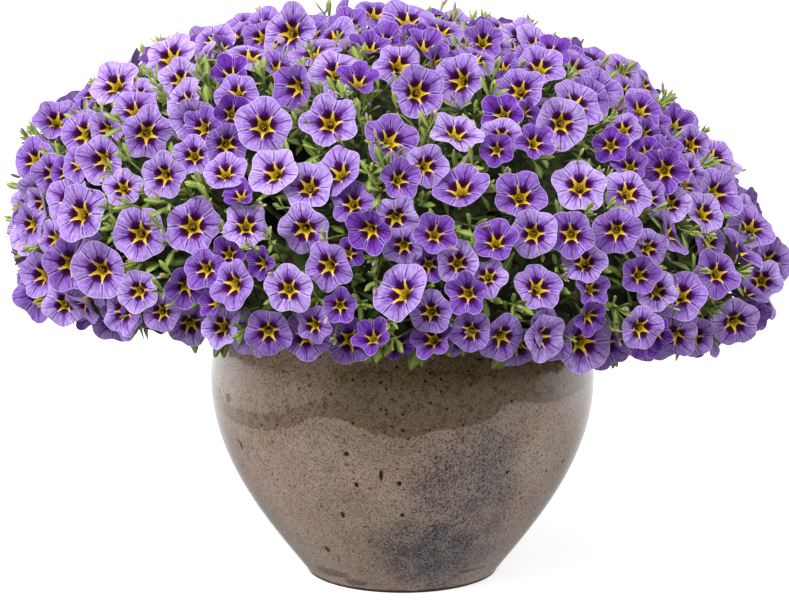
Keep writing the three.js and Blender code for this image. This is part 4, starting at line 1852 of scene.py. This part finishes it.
def buildSoil(draw):
    rim = ground["radius"] - soil["gap"]
    top = [(rim * (1 - i / soil["rings"]), ground["level"]) for i in range(soil["rings"] + 1)]
    side = profilePoints(pot["innerBelly"], 8)[::-1] + profilePoints(pot["innerShoulder"], 4)[::-1][1:-1]
    side = [(radius - soil["gap"], height) for radius, height in side]
    bottom = pot["base"] + soil["gap"]
    side[0] = (side[0][0], bottom)
    bm = turned([(0, bottom)] + side + top, soil["steps"])
    bm.verts.layers.float.new("tone")
    for vert in bm.verts:
        if vert.co.z > ground["level"] - 0.1:
            edge = math.hypot(vert.co.x, vert.co.y) > rim - 1
            rough = 0 if edge else soil["rough"] * (draw() - 0.6)
            vert.co.z = soilHeight(vert.co.x, vert.co.y) + rough
    for number in range(soil["crumbs"] + soil["perlite"]):
        distance = soil["spread"] * math.sqrt(draw())
        place = Vector(polar(distance, fullTurn * draw(), 0))
        place.z = soilHeight(place.x, place.y) - 0.3
        grain = Matrix.Translation(place) @ Matrix.Rotation(6 * draw(), 4, "X")
        grain = grain @ Matrix.Rotation(6 * draw(), 4, "Z")
        grain = grain @ Matrix.Diagonal((1.2 + 1.6 * draw(), 0.9 + draw(), 0.8 + 0.7 * draw(), 1))
        made = bmesh.ops.create_icosphere(bm, subdivisions=1, radius=1, matrix=grain)
        for face in {face for vert in made["verts"] for face in vert.link_faces}:
            face.material_index = 0 if number < soil["crumbs"] else 1
    return finishPiece("potting_mix", bm, ["mix", "perlite"], ["soil"])


# Growing it all

templates = {
    "corolla": corollaTemplate(),
    "anther": antherTemplate(),
    "bud": budTemplate(),
    "leaf": leafTemplate(),
    "stem": stalkTemplate(7, 11),
    "twig": stalkTemplate(5, 3),
    "sepal": stalkTemplate(3, 1),
    "ball": ballTemplate(),
}
buildPot()
buildSoil(seeded(3))
print("pot and soil")

varying = seeded(5)
for bloom in blooms:
    varyBloom(bloom, varying)
for bloom in blooms:
    leanBloom(bloom, varying)
gaps = fillGaps(findGaps(seeded(11), tuft["tries"]), varying)
hangHem(seeded(17))
discs = {key: np.array([bloom[key] for bloom in blooms]) for key in ("place", "facing", "radius")}
discs["radius"] *= [bloom["scale"] for bloom in blooms]
for gap in gaps:
    if not coversFace(gap["place"]):
        coreFor(gap, cores, shoots)["tufts"].append(gap)
for core in cores[::wilted["every"]]:
    if core["tufts"]:
        core["spent"].append(wiltedBloom(core["tufts"].pop(), core, varying))
print("gaps:", len(gaps), "and blooms:", len(blooms))

for number, core in enumerate(cores, 1):
    buildBlooms(core, f"blooms_{number:02d}", f"spray_{number:02d}", varying)
    buildFoliage(core, f"foliage_{number:02d}", f"spray_{number:02d}", varying)
print("sprays:", len(cores))
for number, shoot in enumerate(shoots, 1):
    buildShoot(shoot, f"tip_{number:02d}", f"shoot_{number:02d}", varying)
print("shoots:", len(shoots))


# Camera, floor and light

view = {
    "distance": 2000,
    "elevation": 12,
    "aim": (-5.2, 0, 175.0),
    "lens": 139.8,
    "sensor": 36,
}


def addCamera():
    data = bpy.data.cameras.new("camera")
    data.lens = view["lens"]
    data.sensor_width = view["sensor"]
    camera = bpy.data.objects.new("camera", data)
    scene.collection.objects.link(camera)
    tilt = math.radians(view["elevation"])
    back = Vector((0, -math.cos(tilt), math.sin(tilt)))
    camera.location = (Vector(view["aim"]) + back * view["distance"]) * metresPerMm
    camera.rotation_euler = (-back).to_track_quat("-Z", "Y").to_euler()
    scene.camera = camera


studio = {
    "above": 0.75,
    "below": 0.30,
    "backdrop": 1.02,
    "floor": "#e8e8e8",
    "floorGlow": 0.60,
    "floorSize": 30,
    "mirrored": (0.20, 1.2),  # from the camera's side to the far side
    "mirroredBelow": 0.20,  # share of it that comes from the floor
    "lights": {
        "key": {"place": (-900, -1500, 2100), "size": 1300, "power": 62},
        "side": {"place": (-1500, -300, 500), "size": 900, "power": 10},
        "fill": {"place": (1500, -1200, 1100), "size": 1300, "power": 14},
    },
}


def addLight(name, settings):
    data = bpy.data.lights.new(name, "AREA")
    data.size = settings["size"] * metresPerMm
    data.energy = settings["power"]
    lamp = bpy.data.objects.new(name, data)
    lamp.visible_glossy = False
    scene.collection.objects.link(lamp)
    lamp.location = Vector(settings["place"]) * metresPerMm
    lamp.rotation_euler = (Vector((0, 0, 0.2)) - lamp.location).to_track_quat("-Z", "Y").to_euler()


# The backdrop is white to look at, lights the plant softly, more from above than from below, and is
# mirrored in the glaze as white walls with a darker room before them.
def addWorld():
    world = bpy.data.worlds.new("studio")
    world.use_nodes = True
    tree = world.node_tree
    tree.nodes.clear()
    _, y, z = partsOf(addNode(tree, "ShaderNodeTexCoord").outputs["Generated"])
    ray = addNode(tree, "ShaderNodeLightPath").outputs
    soft = ranged(z, -0.6, 0.8, studio["below"], studio["above"])
    mirrored = times(ranged(y, -0.3, 0.5, *studio["mirrored"]),
                     ranged(z, -0.50, -0.12, studio["mirroredBelow"], 1.0))
    strength = timesPlus(minus(mirrored, soft), ray["Is Glossy Ray"], soft)
    strength = worked("MAXIMUM", strength, times(ray["Is Camera Ray"], studio["backdrop"]))
    backdrop = addNode(tree, "ShaderNodeBackground", {0: (1, 1, 1, 1), 1: strength})
    addNode(tree, "ShaderNodeOutputWorld", {0: backdrop.outputs[0]})
    scene.world = world


def addFloor():
    bm = bmesh.new()
    bmesh.ops.create_grid(bm, x_segments=1, y_segments=1, size=studio["floorSize"],
                          matrix=Matrix.Translation((0, 0, -0.0002)))
    floor = bpy.data.objects.new("floor", asMesh("floor", bm))
    floor.visible_diffuse = False
    floor.visible_glossy = False
    scene.collection.objects.link(floor)
    material, tree = newMaterial("Paper sweep, matt")
    addSurface(tree, linear(studio["floor"]), {
        "Roughness": 0.9,
        "Emission Color": linear("#ffffff"),
        "Emission Strength": studio["floorGlow"],
    })
    floor.data.materials.append(material)


addCamera()
addWorld()
addFloor()
for name, settings in studio["lights"].items():
    addLight(name, settings)
scene.view_settings.view_transform = "Standard"
scene.view_settings.look = "None"
